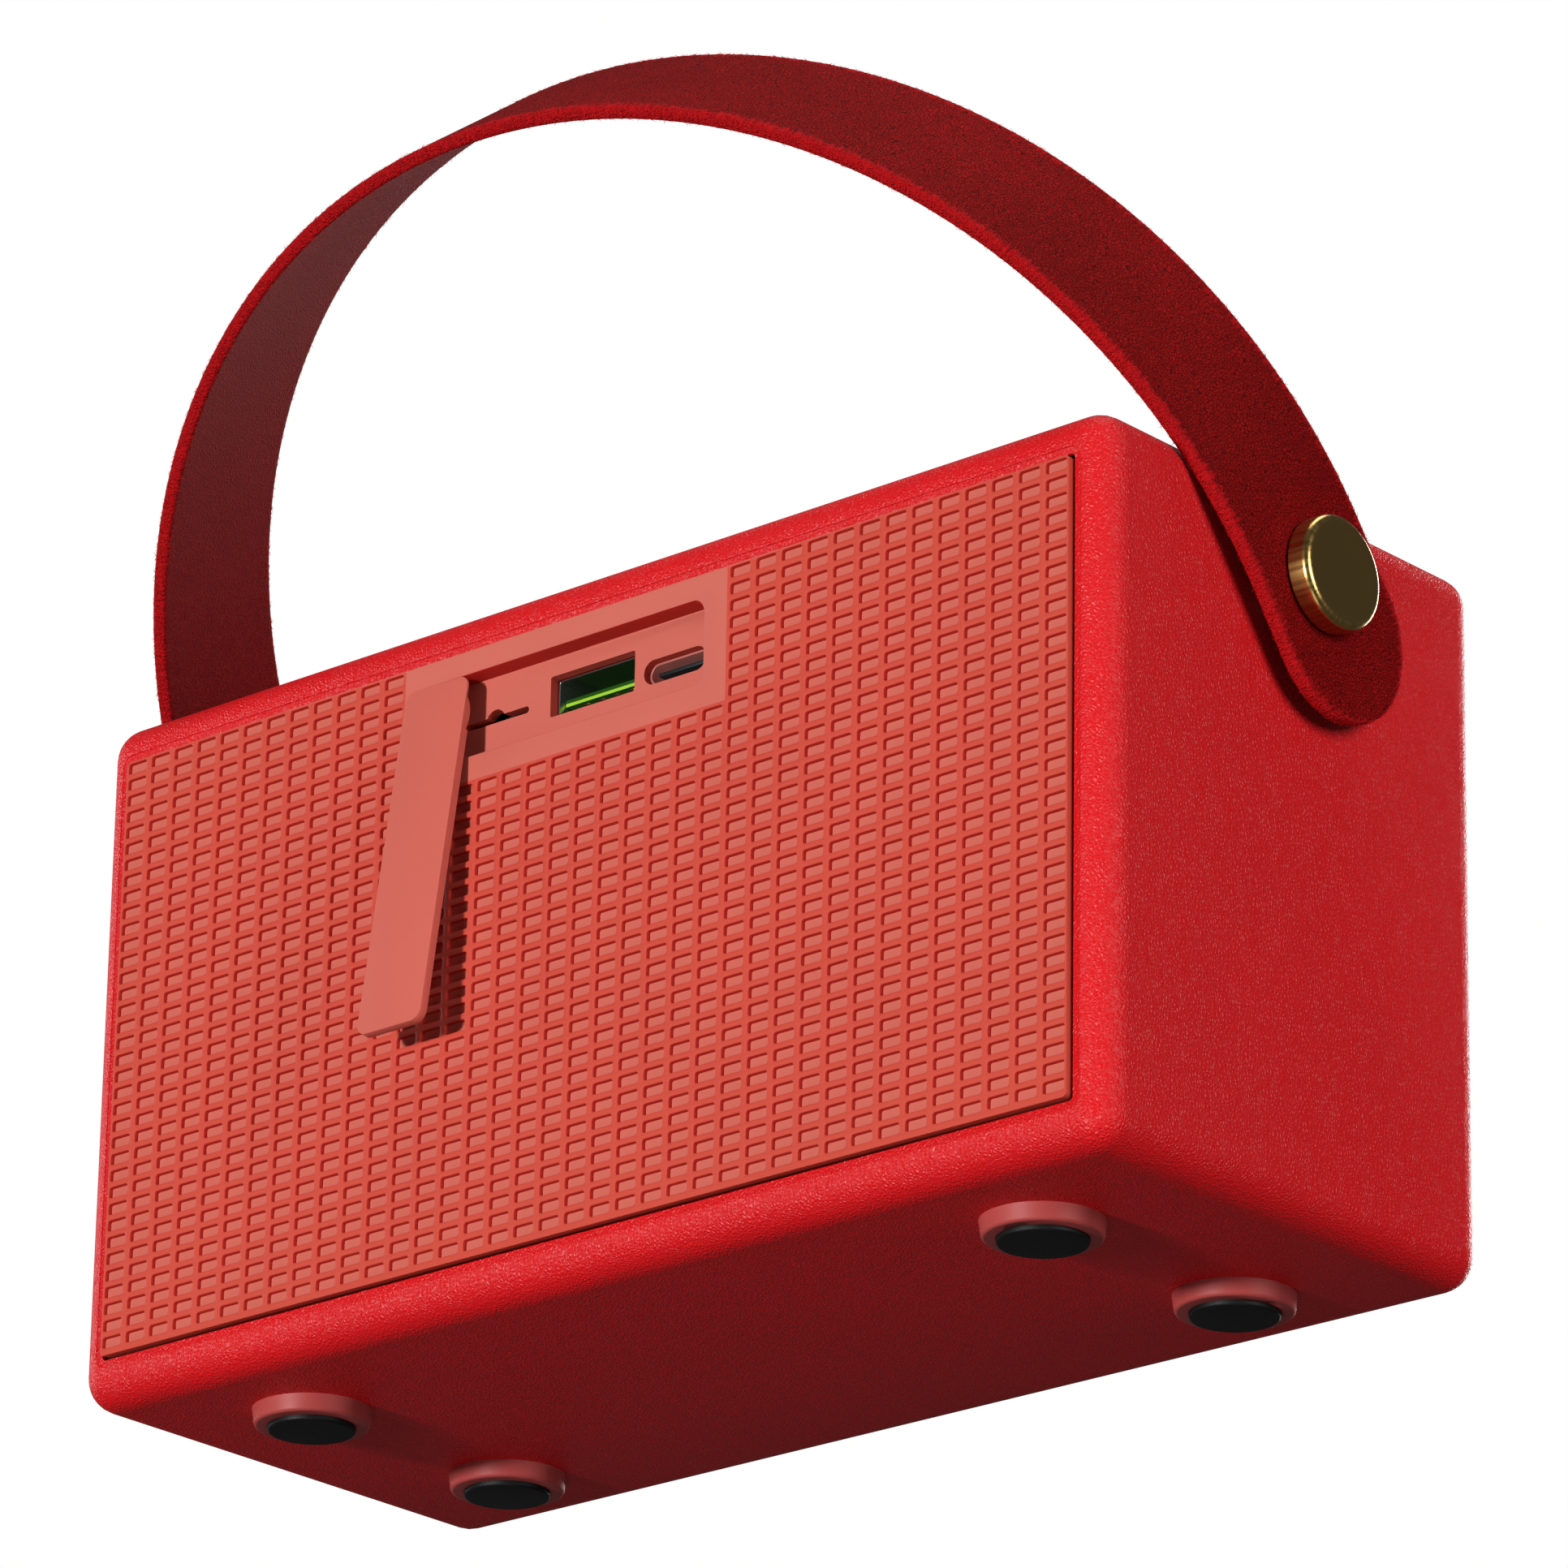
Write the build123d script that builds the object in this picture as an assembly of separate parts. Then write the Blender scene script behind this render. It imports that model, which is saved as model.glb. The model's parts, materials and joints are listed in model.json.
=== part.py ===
from build123d import *
import os

# Party speaker with a carrying strap. Millimetres, +Z up.
# The origin is on the floor, under the middle of the cabinet. The port panel
# faces +Y, the grille faces -Y, and the strap's studs lie along X.

# ---------------------------------------------------------------- modelling
over = 1.0               # a cutter runs this far past what it cuts
lap = 0.5                # solids that are joined share this much

# ---------------------------------------------------------------- cabinet
cab_w = 168.0            # across the studs
cab_d = 72.7             # front face to back face
cab_h = 92.6             # underside to top
edge_r = 4.5             # rounding of every outer edge
wrap_t = 0.8             # leatherette skin
foot_h = 2.9             # underside of the cabinet above the floor
bezel_side = 5.17        # skin left showing beside the panel
bezel_end = 6.175        # skin left showing above and below the panel
panel_gap = 0.35         # slit round the panel and the grille
panel_corner_r = 0.6
ledge_w = 1.9            # ledge that the panel and the baffle rest on
ledge_t = 3.0
block_w = 9.0            # corner block behind the panel and the baffle
block_t = 10.0
gasket_t = 0.5
gasket_w = 1.5

# ---------------------------------------------------------------- port panel
panel_t = 2.2
panel_proud = 0.6        # panel face beyond the cabinet face
bay_drop = 3.15          # top of the bay below the top of the panel
bay_h = 11.1
bay_depth = 2.85
bay_right = 21.2         # right end of the bay from the middle, towards -X
bay_corner_r = 1.9
tray_wall = 1.4          # wall and floor behind the bay
pivot_x = 23.2           # flap swivel from the middle, towards +X
usb_a_x = -0.3
usb_a_w = 14.1
usb_a_h = 5.4
usb_a_up = 0.4           # middle of the socket above the middle of the bay
usb_c_x = -14.0
usb_c_w = 10.2
usb_c_h = 3.2
usb_c_up = -0.6
card_x = 16.05
card_w = 11.3
card_h = 0.9
card_up = -0.2
card_notch_r = 1.6
port_gap = 0.12          # socket to its cut-out
metal_t = 0.3            # sheet of a socket's shell
full_end = 0.02          # flat left at each end of a nearly round slot
usb_a_corner_r = 0.3
usb_a_shell_r = 0.5
usb_a_inner_r = 0.2
usb_a_deep = 14.0
usb_a_sink = 1.25        # mouth of the shell behind the floor of the bay
usb_a_block_t = 3.0
usb_a_tongue_t = 0.9
usb_a_tongue_up = 1.5    # tongue above the floor of the socket
usb_a_tongue_side = 0.1
usb_a_tongue_in = 1.0    # tongue behind the mouth of the shell
usb_c_deep = 7.5
usb_c_sink = 1.0
usb_c_block_t = 1.6
usb_c_tongue_t = 0.5
usb_c_tongue_side = 0.9
usb_c_tongue_in = 0.3
notch_sink = 0.45        # centre of the notch below the slot, in parts of its radius
card_deep = 14.5
card_back_gap = 1.3      # reader to the back of the bay, past the flap's stalk
card_side_t = 0.6        # reader's wall beside the card
card_roof_t = 0.8
card_rear_t = 1.2
peg_r = 1.6
peg_gap = 0.05
peg_len = 8.0

# ---------------------------------------------------------------- port flap
flap_w = 10.7
flap_len = 48.0
flap_t = 1.15
flap_tilt = 8.25         # lean of the open flap away from the panel
flap_lip_t = 0.3
flap_lift = 0.35         # outer face of a flat flap above the panel face
flap_corner_r = 1.6
flap_hub_gap = 0.2       # flap's round underside to the bay's round end
flap_hub_reach = 7.4     # length of the round underside from the crease
flap_root_bare = 0.8     # thin lip next to the crease
tether_w = 3.2
tether_t = 1.0
tether_post_r = 1.2
tether_post_gap = 0.05
tether_head_r = 2.0
tether_gap = 0.1
tether_reach_gap = 0.65  # end of the strip short of the crease
tether_web_t = 0.8
tether_web_gap = 0.15    # web to the underside of the flap
tether_head_t = 1.0

# ---------------------------------------------------------------- feet
foot_x = 59.7
foot_y = 18.0
foot_ring_r = 7.3
foot_ring_base_r = 7.6
foot_ring_bore_r = 5.6
foot_ring_t = 2.2
foot_pad_r = 5.55
foot_web_t = 0.9
foot_screw_hole_r = 1.55
foot_ring_edge_r = 0.5
foot_pad_edge_r = 0.4
foot_pad_skin_t = 0.9    # rubber left under the screw's head
foot_head_gap = 0.1
foot_head_t = 1.0

# ---------------------------------------------------------------- strap
strap_w = 24.1
strap_t = 1.8
strap_off = 3.0          # middle of each leg outside the end of the cabinet
strap_flat = 2.8         # arch lower than a half circle of the same span
strap_leg = 2.2          # straight leg above the stud
strap_tail = 6.3         # centre of the round tail below the stud
strap_lean = 37.0        # lean of the arch towards the port panel
strap_drop = 12.4        # studs below the top of the cabinet
strap_hole_gap = 0.08
stud_cap_r = 7.25
stud_cap_t = 3.2
stud_cap_edge_r = 0.9
stud_post_r = 2.5
stud_nut_r = 4.2
stud_nut_t = 3.0
washer_r = 5.0
face_gap = 0.1           # strap to the washer and to the cap

# ---------------------------------------------------------------- front
baffle_t = 4.0
baffle_back = 4.0        # air between the grille and the baffle
baffle_gap = 0.2
slot_h = 2.4
slot_pitch = 4.0
slot_rows = 18
slot_margin = 5.0
grille_mullion = 6.0
grille_peg_x = 25.0
grille_peg_inset = 6.2
grille_boss_w = 1.4      # solid ring round a peg

# ---------------------------------------------------------------- drivers
driver_flange_r = 26.0
driver_flange_t = 2.0
driver_side = 2.8        # flange from the edge of the panel
driver_flange_w = 3.8    # flange that lies on the baffle
driver_hole_gap = 1.6    # mouth of the basket to the hole in the baffle
driver_waist_r = 16.0
driver_depth = 14.5
driver_wall = 1.3
window_w = 12.0
window_front_gap = 1.0   # windows start this far behind the baffle
window_rear_gap = 1.5
basket_lip = 0.6         # basket's floor outside the plate's bore
plate_inset = 0.5        # plate and yoke inside the magnet's edge
pole_front_gap = 0.2     # pole behind the front of the plate
cone_foot_w = 0.4
surround_gap = 0.4       # roll to the frame that it moves in
magnet_r = 15.0
magnet_bore_r = 9.5
magnet_t = 7.0
plate_t = 1.5
plate_bore_r = 8.2
pole_r = 6.3
yoke_t = 2.5
coil_r = 6.7
coil_t = 0.7
coil_len = 11.4
cone_t = 0.5
cone_rim_lap = 0.5       # rim of the cone under the roll
cone_rim_w = 1.4
cone_sink = 6.1
roll_r = 1.9             # outer radius of the surround's roll
roll_t = 0.5
roll_sink = 1.0          # foot of the roll behind the flange's face
dome_r = 9.0
spider_r = 13.0
spider_t = 0.4
spider_sink = 11.6

# ---------------------------------------------------------------- radiator
radiator_flange_r = 23.5
radiator_flange_w = 4.1
radiator_hole_gap = 0.4
radiator_plate_lap = 0.3 # rim of the disc under the roll
radiator_plate_t = 1.2
radiator_mass_r = 9.0
radiator_mass_t = 4.0

# ---------------------------------------------------------------- electronics
board_w = 66.0
board_d = 30.0
board_t = 1.6
board_back_gap = 0.4     # board to the back of the tray
standoff_r = 2.6
board_corner_r = 1.5
screw_inset = 4.0
screw_r = 1.45
screw_hole_gap = 0.05
screw_head_r = 2.7
screw_head_t = 1.8
board_screw_deep = 3.0   # board's screws into the top of the cabinet
tray_screw_deep = 4.0    # tray's screws into the floor of the cabinet
hole_extra = 0.5         # blind end of a hole past the tip of its screw
tray_hole_deep = 4.2
chip_w = 12.0            # amplifier chip
chip_t = 1.4
choke_w = 8.0
choke_t = 4.0
choke_x = 18.0
can_r = 2.5              # capacitors
can_len = 6.0
can_x = 11.0
can_y = 8.0
cell_r = 9.3
cell_len = 65.0
cell_gap = 0.6
tray_t = 2.0
tray_side = 2.0
tray_lip = 8.0
cell_end_gap = 0.4

# ---------------------------------------------------------------- controls
control_w = 92.0
control_d = 17.0
control_t = 2.0
control_y = -12.0
control_gap = 0.2
control_ledge = 2.5
control_corner_r = 3.0
control_recess = 0.2     # plate below the top of the cabinet
button_names = ["power", "minus", "play", "plus", "mode"]
button_pitch = 17.0
button_r = 4.2
button_gap = 0.08
button_proud = 0.9
button_flange_r = 5.2
button_flange_t = 0.8
button_travel = 0.8
button_stem_r = 1.6
button_air = 0.15        # stem above its switch at the end of its travel
button_edge_r = 0.6
button_flange_gap = 0.1  # flange below the plate
key_board_drop = 1.6     # key board below the ceiling
key_board_corner_r = 1.0
key_board_end_gap = 0.5
key_board_t = 1.2
key_board_d = 13.0
switch_w = 4.6
switch_t = 1.4
switch_cap_r = 1.5
switch_cap_t = 0.6

# ---------------------------------------------------------------- derived
cab_z = foot_h + cab_h / 2
cab_top = foot_h + cab_h
back_y = cab_d / 2
front_y = -cab_d / 2
panel_w = cab_w - 2 * bezel_side
panel_h = cab_h - 2 * bezel_end
cavity_w = panel_w + 2 * panel_gap
cavity_h = panel_h + 2 * panel_gap
cavity_top = cab_z + cavity_h / 2
cavity_floor = cab_z - cavity_h / 2
panel_face = back_y + panel_proud
panel_back = panel_face - panel_t
rear_seat = panel_back - gasket_t
grille_face = front_y - panel_proud
grille_back = grille_face + panel_t
baffle_face = grille_back + baffle_back
baffle_rear = baffle_face + baffle_t
front_seat = baffle_rear + gasket_t
block_x = cavity_w / 2 - block_w / 2
block_z = cavity_h / 2 - block_w / 2
bay_z = cab_z + panel_h / 2 - bay_drop - bay_h / 2
bay_floor = panel_face - bay_depth
tray_back = bay_floor - tray_wall
stud_z = cab_top - strap_drop
strap_half_span = cab_w / 2 + strap_off
strap_rise = strap_half_span - strap_flat
flange_face = baffle_face - driver_flange_t
driver_x = panel_w / 2 - driver_side - driver_flange_r
driver_hole_r = driver_flange_r - driver_flange_w
driver_mouth_r = driver_hole_r - driver_hole_gap
cone_rim_r = driver_mouth_r - surround_gap - 2 * roll_r + cone_rim_lap
radiator_hole_r = radiator_flange_r - radiator_flange_w
radiator_mouth_r = radiator_hole_r - radiator_hole_gap
radiator_plate_r = radiator_mouth_r - surround_gap - 2 * roll_r + radiator_plate_lap
usb_a_z = bay_z + usb_a_up
usb_c_z = bay_z + usb_c_up
card_z = bay_z + card_up
board_top = min(usb_a_z - usb_a_h / 2, usb_c_z - usb_c_h / 2) + port_gap
board_y = tray_back - board_back_gap - board_d / 2
control_top = cab_top - control_recess
button_flange_top = control_top - control_t
key_board_top = cavity_top - key_board_drop


def block(x0, x1, y0, y1, z0, z1):
    """Box between two corners."""
    middle = Pos((x0 + x1) / 2, (y0 + y1) / 2, (z0 + z1) / 2)
    return middle * Box(x1 - x0, y1 - y0, z1 - z0)


def disc_x(y, z, radius, x0, x1):
    """Cylinder along X."""
    return Pos((x0 + x1) / 2, y, z) * Rot(0, 90, 0) * Cylinder(radius, abs(x1 - x0))


def disc_y(x, z, radius, y0, y1):
    """Cylinder along Y."""
    return Pos(x, (y0 + y1) / 2, z) * Rot(90, 0, 0) * Cylinder(radius, abs(y1 - y0))


def disc_z(x, y, radius, z0, z1):
    """Cylinder along Z."""
    return Pos(x, y, (z0 + z1) / 2) * Cylinder(radius, abs(z1 - z0))


def plate_y(width, height, corner_r, x, z, y0, y1):
    """Round-cornered plate that faces along Y."""
    outline = RectangleRounded(width, height, corner_r)
    half = abs(y1 - y0) / 2
    return Pos(x, (y0 + y1) / 2, z) * Rot(90, 0, 0) * extrude(outline, half, both=True)


def plate_z(width, depth, corner_r, x, y, z0, z1):
    """Round-cornered plate that faces along Z."""
    outline = RectangleRounded(width, depth, corner_r)
    return Pos(x, y, (z0 + z1) / 2) * extrude(outline, abs(z1 - z0) / 2, both=True)


def rounded_box(width, depth, height, radius):
    """Box about the middle of the cabinet, with every edge rounded."""
    box = Box(width, depth, height)
    return Pos(0, 0, cab_z) * fillet(box.edges(), radius)


def turned_y(points, x, z, face_y):
    """Solid turned about an axis along Y.

    Each point is a radius and a depth behind face_y, towards +Y.
    """
    outline = make_face(Polyline(*points, close=True))
    turned = revolve(outline, Axis.Y, 360)
    return Pos(x, face_y, z) * turned


def corners(half_x, half_z):
    """Four places about the middle of the cabinet."""
    return [(sx * half_x, cab_z + sz * half_z) for sx in (-1, 1) for sz in (-1, 1)]


def ring_y(width, height, rim, y0, y1):
    """Rectangular ring that faces along Y, about the middle of the cabinet."""
    outer = block(-width / 2, width / 2, y0, y1, cab_z - height / 2, cab_z + height / 2)
    inner_w = width / 2 - rim
    inner_h = height / 2 - rim
    return outer - block(-inner_w, inner_w, y0 - over, y1 + over, cab_z - inner_h, cab_z + inner_h)


# ---------------------------------------------------------------- cabinet pieces
def control_cut(grow):
    """Opening in the top for the control plate, with its ledge."""
    seat = button_flange_top
    upper = plate_z(control_w + 2 * grow, control_d + 2 * grow, control_corner_r + grow,
                    0, control_y, seat, cab_top + over)
    lower_w = control_w - 2 * control_ledge
    lower_d = control_d - 2 * control_ledge
    lower = plate_z(lower_w, lower_d, control_corner_r, 0, control_y, cavity_top - over, seat + over)
    return upper + lower


def cabinet_shell():
    """Square tube of the cabinet, with ledges and corner blocks inside it."""
    shell = rounded_box(cab_w - 2 * wrap_t, cab_d - 2 * wrap_t, cab_h - 2 * wrap_t, edge_r - wrap_t)
    shell -= plate_y(cavity_w, cavity_h, panel_corner_r, 0, cab_z, -cab_d, cab_d)
    shell += ring_y(cavity_w + 2 * lap, cavity_h + 2 * lap, ledge_w + lap, rear_seat - ledge_t, rear_seat)
    shell += ring_y(cavity_w + 2 * lap, cavity_h + 2 * lap, ledge_w + lap, front_seat, front_seat + ledge_t)
    half = block_w / 2 + lap
    for x, z in corners(block_x + lap, block_z + lap):
        shell += block(x - half, x + half, rear_seat - block_t, rear_seat, z - half, z + half)
        shell += block(x - half, x + half, front_seat, front_seat + block_t, z - half, z + half)
    for x, z in corners(block_x, block_z):
        shell -= disc_y(x, z, peg_r + peg_gap, rear_seat - block_t - over, rear_seat + over)
        shell -= disc_y(x, z, screw_r + screw_hole_gap, front_seat - over, front_seat + block_t + over)
    shell -= control_cut(control_gap)
    shell -= disc_x(0, stud_z, stud_post_r + peg_gap, -cab_w, cab_w)
    for x, y in feet():
        shell -= disc_z(x, y, screw_r + screw_hole_gap, 0, cavity_floor + over)
    for x, y in standoff_places():
        shell -= disc_z(x, y, screw_r + screw_hole_gap, cavity_top - over,
                        cavity_top + board_screw_deep + hole_extra)
    for x, y in tray_screw_places():
        shell -= disc_z(x, y, screw_r + screw_hole_gap, cavity_floor - tray_hole_deep,
                        cavity_floor + over)
    return shell


def leather_wrap():
    """Leatherette skin over the cabinet, turned in to the edge of each opening."""
    skin = rounded_box(cab_w, cab_d, cab_h, edge_r)
    skin -= rounded_box(cab_w - 2 * wrap_t, cab_d - 2 * wrap_t, cab_h - 2 * wrap_t, edge_r - wrap_t)
    skin -= plate_y(cavity_w, cavity_h, panel_corner_r, 0, cab_z, -cab_d, cab_d)
    skin -= control_cut(control_gap)
    skin -= disc_x(0, stud_z, stud_post_r + peg_gap, -cab_w, cab_w)
    for x, y in feet():
        skin -= disc_z(x, y, screw_r + screw_hole_gap, 0, foot_h + wrap_t + over)
    return skin


def feet():
    """Places of the four feet."""
    return [(sx * foot_x, sy * foot_y) for sx in (-1, 1) for sy in (-1, 1)]


def foot_rings():
    """Tapered cups under the cabinet, open downwards."""
    rings = []
    ring_floor = foot_h - foot_ring_t
    for x, y in feet():
        cone = Pos(x, y, (ring_floor + foot_h) / 2) * Cone(foot_ring_r, foot_ring_base_r, foot_ring_t)
        rim = cone.edges().sort_by(Axis.Z)[0]
        cup = fillet(rim, foot_ring_edge_r)
        cup -= disc_z(x, y, foot_ring_bore_r, ring_floor - over, foot_h - foot_web_t)
        cup -= disc_z(x, y, foot_screw_hole_r, 0, foot_h + over)
        rings.append(cup)
    return rings


def foot_pads():
    """Rubber discs in the cups, which stand on the floor."""
    pads = []
    for x, y in feet():
        pad = disc_z(x, y, foot_pad_r, 0, foot_h - foot_web_t)
        pad = fillet(pad.edges().sort_by(Axis.Z)[0], foot_pad_edge_r)
        pad -= disc_z(x, y, screw_head_r + foot_head_gap, foot_pad_skin_t, foot_h)
        pads.append(pad)
    return pads


# ---------------------------------------------------------------- port panel pieces
def bay_outline(grow):
    """Outline of the port bay: a straight channel with one round end at the swivel."""
    left = pivot_x
    right = -bay_right - grow
    height = bay_h + 2 * grow
    channel = Pos((left + right) / 2, 0) * Rectangle(left - right, height)
    square = channel.vertices().sort_by(Axis.X)[:2]
    channel = fillet(square, bay_corner_r + grow)
    return channel + Pos(pivot_x, 0) * Circle(height / 2)


def prism_y(outline, z, y0, y1):
    """Sketch in X and Z, drawn out along Y."""
    half = abs(y1 - y0) / 2
    return Pos(0, (y0 + y1) / 2, z) * Rot(90, 0, 0) * extrude(outline, half, both=True)


def back_panel():
    """Moulded panel with the port bay, its cut-outs and four pegs."""
    panel = plate_y(panel_w, panel_h, panel_corner_r, 0, cab_z, panel_back, panel_face)
    panel += prism_y(bay_outline(tray_wall), bay_z, tray_back, panel_back + lap)
    panel -= prism_y(bay_outline(0), bay_z, bay_floor, panel_face + over)
    floor_cut = (tray_back - over, bay_floor + over)
    panel -= plate_y(usb_a_w, usb_a_h, usb_a_corner_r, usb_a_x, usb_a_z, *floor_cut)
    panel -= plate_y(usb_c_w, usb_c_h, usb_c_h / 2 - full_end, usb_c_x, usb_c_z, *floor_cut)
    panel -= plate_y(card_w, card_h, card_h / 2 - full_end, card_x, card_z, *floor_cut)
    notch = disc_y(card_x, card_z + card_h / 2 - card_notch_r * notch_sink, card_notch_r, *floor_cut)
    notch &= block(-cab_w, cab_w, -cab_d, cab_d, card_z, cab_top)
    panel -= notch
    panel -= disc_y(pivot_x, bay_z, tether_post_r + tether_post_gap, *floor_cut)
    for x, z in corners(block_x, block_z):
        panel += disc_y(x, z, peg_r, panel_back - peg_len, panel_back + lap)
    return panel


def panel_gasket():
    """Foam strip between the panel and its ledge."""
    return ring_y(cavity_w - 2 * baffle_gap, cavity_h - 2 * baffle_gap, gasket_w, rear_seat, panel_back)


def usb_a_shell():
    """Bent steel shell of the wide socket, behind the floor of the bay."""
    width = usb_a_w - 2 * port_gap
    height = usb_a_h - 2 * port_gap
    inner_w = width - 2 * metal_t
    inner_h = height - 2 * metal_t
    rear = bay_floor - usb_a_deep
    mouth = bay_floor - usb_a_sink
    shell = plate_y(width, height, usb_a_shell_r, usb_a_x, usb_a_z, rear, mouth)
    return shell - plate_y(inner_w, inner_h, usb_a_inner_r, usb_a_x, usb_a_z, rear + metal_t, mouth + over)


def usb_a_tongue():
    """Plastic tongue and back block inside the wide socket."""
    width = usb_a_w - 2 * port_gap - 2 * metal_t
    height = usb_a_h - 2 * port_gap - 2 * metal_t
    rear = bay_floor - usb_a_deep + metal_t
    low = usb_a_z - height / 2 + usb_a_tongue_up
    half = width / 2 - usb_a_tongue_side
    back = plate_y(width, height, usb_a_inner_r, usb_a_x, usb_a_z, rear, rear + usb_a_block_t)
    tongue = block(usb_a_x - half, usb_a_x + half, rear + usb_a_block_t - lap,
                   bay_floor - usb_a_sink - usb_a_tongue_in, low, low + usb_a_tongue_t)
    return back + tongue


def usb_c_shell():
    """Drawn steel shell of the oval socket, behind the floor of the bay."""
    width = usb_c_w - 2 * port_gap
    height = usb_c_h - 2 * port_gap
    rear = bay_floor - usb_c_deep
    mouth = bay_floor - usb_c_sink
    shell = plate_y(width, height, height / 2 - full_end, usb_c_x, usb_c_z, rear, mouth)
    inner_h = height - 2 * metal_t
    return shell - plate_y(width - 2 * metal_t, inner_h, inner_h / 2 - full_end, usb_c_x, usb_c_z,
                           rear + metal_t, mouth + over)


def usb_c_tongue():
    """Thin centre tongue and back block inside the oval socket."""
    width = usb_c_w - 2 * port_gap - 2 * metal_t
    height = usb_c_h - 2 * port_gap - 2 * metal_t
    rear = bay_floor - usb_c_deep + metal_t
    half = width / 2 - usb_c_tongue_side
    back = plate_y(width, height, height / 2 - full_end, usb_c_x, usb_c_z, rear, rear + usb_c_block_t)
    tongue = block(usb_c_x - half, usb_c_x + half, rear + usb_c_block_t - lap,
                   bay_floor - usb_c_sink - usb_c_tongue_in,
                   usb_c_z - usb_c_tongue_t / 2, usb_c_z + usb_c_tongue_t / 2)
    return back + tongue


def card_reader():
    """Memory card reader behind the thin slot."""
    front = tray_back - card_back_gap
    rear = front - card_deep
    slot = card_w / 2
    outer = slot + card_side_t
    roof = card_z + card_h / 2 + card_roof_t
    reader = block(card_x - outer, card_x + outer, rear, front, board_top, roof)
    return reader - block(card_x - slot, card_x + slot, rear + card_rear_t, front + over,
                          card_z - card_h / 2, card_z + card_h / 2)


# ---------------------------------------------------------------- flap pieces
def flap_tether():
    """Rubber stalk that turns in the panel and carries the flap's crease."""
    strip_y0 = bay_floor + tether_gap
    reach = flap_w / 2 - tether_reach_gap
    outline = Pos(pivot_x, reach / 2) * Rectangle(tether_w, reach)
    outline += Pos(pivot_x, 0) * Circle(tether_w / 2)
    tether = prism_y(outline, bay_z, strip_y0, strip_y0 + tether_t)
    web_top = panel_face + flap_lift - flap_t - tether_web_gap
    tether += block(pivot_x - tether_w / 2, pivot_x + tether_w / 2, strip_y0, web_top,
                    bay_z + reach - tether_web_t, bay_z + reach)
    head_face = tray_back - tether_gap
    tether += disc_y(pivot_x, bay_z, tether_post_r, head_face - tether_head_t, strip_y0 + lap)
    tether += disc_y(pivot_x, bay_z, tether_head_r, head_face - tether_head_t, head_face)
    return tether


def port_flap():
    """Rubber cover of the port bay, hanging open from its crease.

    It is drawn flat with its outer face up, its crease along X at the origin
    and its free end towards -Y, and then stood up and tilted.
    """
    outline = Pos(0, -flap_len / 2) * RectangleRounded(flap_w, flap_len, flap_corner_r)
    root = Pos(0, -flap_hub_reach / 2) * Rectangle(flap_w, flap_hub_reach)
    lip_face = flap_lip_t / 2
    lip = Pos(0, 0, -lip_face) * extrude(outline, flap_lip_t)
    tail = outline - root
    swivel = Pos(0, -flap_w / 2) * Circle(bay_h / 2 - flap_hub_gap)
    hub = (root & swivel) - Rectangle(flap_w, 2 * flap_root_bare)
    core_t = flap_t - flap_lip_t
    core = Pos(0, 0, -lip_face - core_t) * extrude(tail + hub, core_t + lap / 10)
    flap = lip + core
    crease = Pos(pivot_x, panel_face + flap_lift - lip_face, bay_z + flap_w / 2)
    return crease * Rot(180 + flap_tilt, 0, 0) * Rot(-90, 0, 0) * Rot(0, 180, 0) * flap


# ---------------------------------------------------------------- strap pieces
def strap():
    """Leather strap: two straight legs with round tails, joined by an arch."""
    half = strap_t / 2
    outer = Ellipse(strap_half_span + half, strap_rise + half)
    inner = Ellipse(strap_half_span - half, strap_rise - half)
    above = Pos(0, strap_rise) * Rectangle(4 * strap_half_span, 2 * strap_rise)
    arch = extrude((outer - inner) & above, strap_w / 2, both=True)
    band = Pos(0, 0, strap_leg) * Rot(90, 0, 0) * arch
    leg_h = strap_leg + strap_tail
    leg = Pos(0, strap_leg - leg_h / 2) * Rectangle(strap_w, leg_h)
    leg += Pos(0, -strap_tail) * Circle(strap_w / 2)
    legs = Rot(90, 0, 0) * extrude(leg, half, both=True)
    for side in (-1, 1):
        band += Pos(side * strap_half_span, 0, 0) * Rot(0, 0, 90) * legs
    band -= Rot(0, 90, 0) * Cylinder(stud_post_r + strap_hole_gap, 3 * cab_w)
    return Pos(0, 0, stud_z) * Rot(-strap_lean, 0, 0) * band


def strap_stud(side):
    """Brass cap with the post that the strap turns on."""
    cap_in = strap_half_span + strap_t / 2 + face_gap
    cap = disc_x(0, stud_z, stud_cap_r, side * cap_in, side * (cap_in + stud_cap_t))
    rim = cap.edges().sort_by(Axis.X)[-1 if side > 0 else 0]
    cap = fillet(rim, stud_cap_edge_r)
    post_in = cavity_w / 2 - stud_nut_t - lap
    return cap + disc_x(0, stud_z, stud_post_r, side * post_in, side * (cap_in + lap))


def strap_washers():
    """Spacers between the end faces and the strap."""
    outer = strap_half_span - strap_t / 2 - face_gap
    bore = stud_post_r + peg_gap
    washers = []
    for side in (-1, 1):
        washer = disc_x(0, stud_z, washer_r, side * cab_w / 2, side * outer)
        washers.append(washer - disc_x(0, stud_z, bore, -cab_w, cab_w))
    return washers


def stud_nuts():
    """Hexagon nuts on the posts, inside the cabinet."""
    nuts = []
    for side in (-1, 1):
        outer = cavity_w / 2
        nut = extrude(RegularPolygon(stud_nut_r, 6), stud_nut_t / 2, both=True)
        nut = Pos(side * (outer - stud_nut_t / 2), 0, stud_z) * Rot(0, 90, 0) * nut
        nuts.append(nut - disc_x(0, stud_z, stud_post_r + peg_gap, -cab_w, cab_w))
    return nuts


# ---------------------------------------------------------------- front pieces
def grille_pegs():
    """Places of the grille's pegs."""
    return corners(grille_peg_x, panel_h / 2 - grille_peg_inset)


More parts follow.
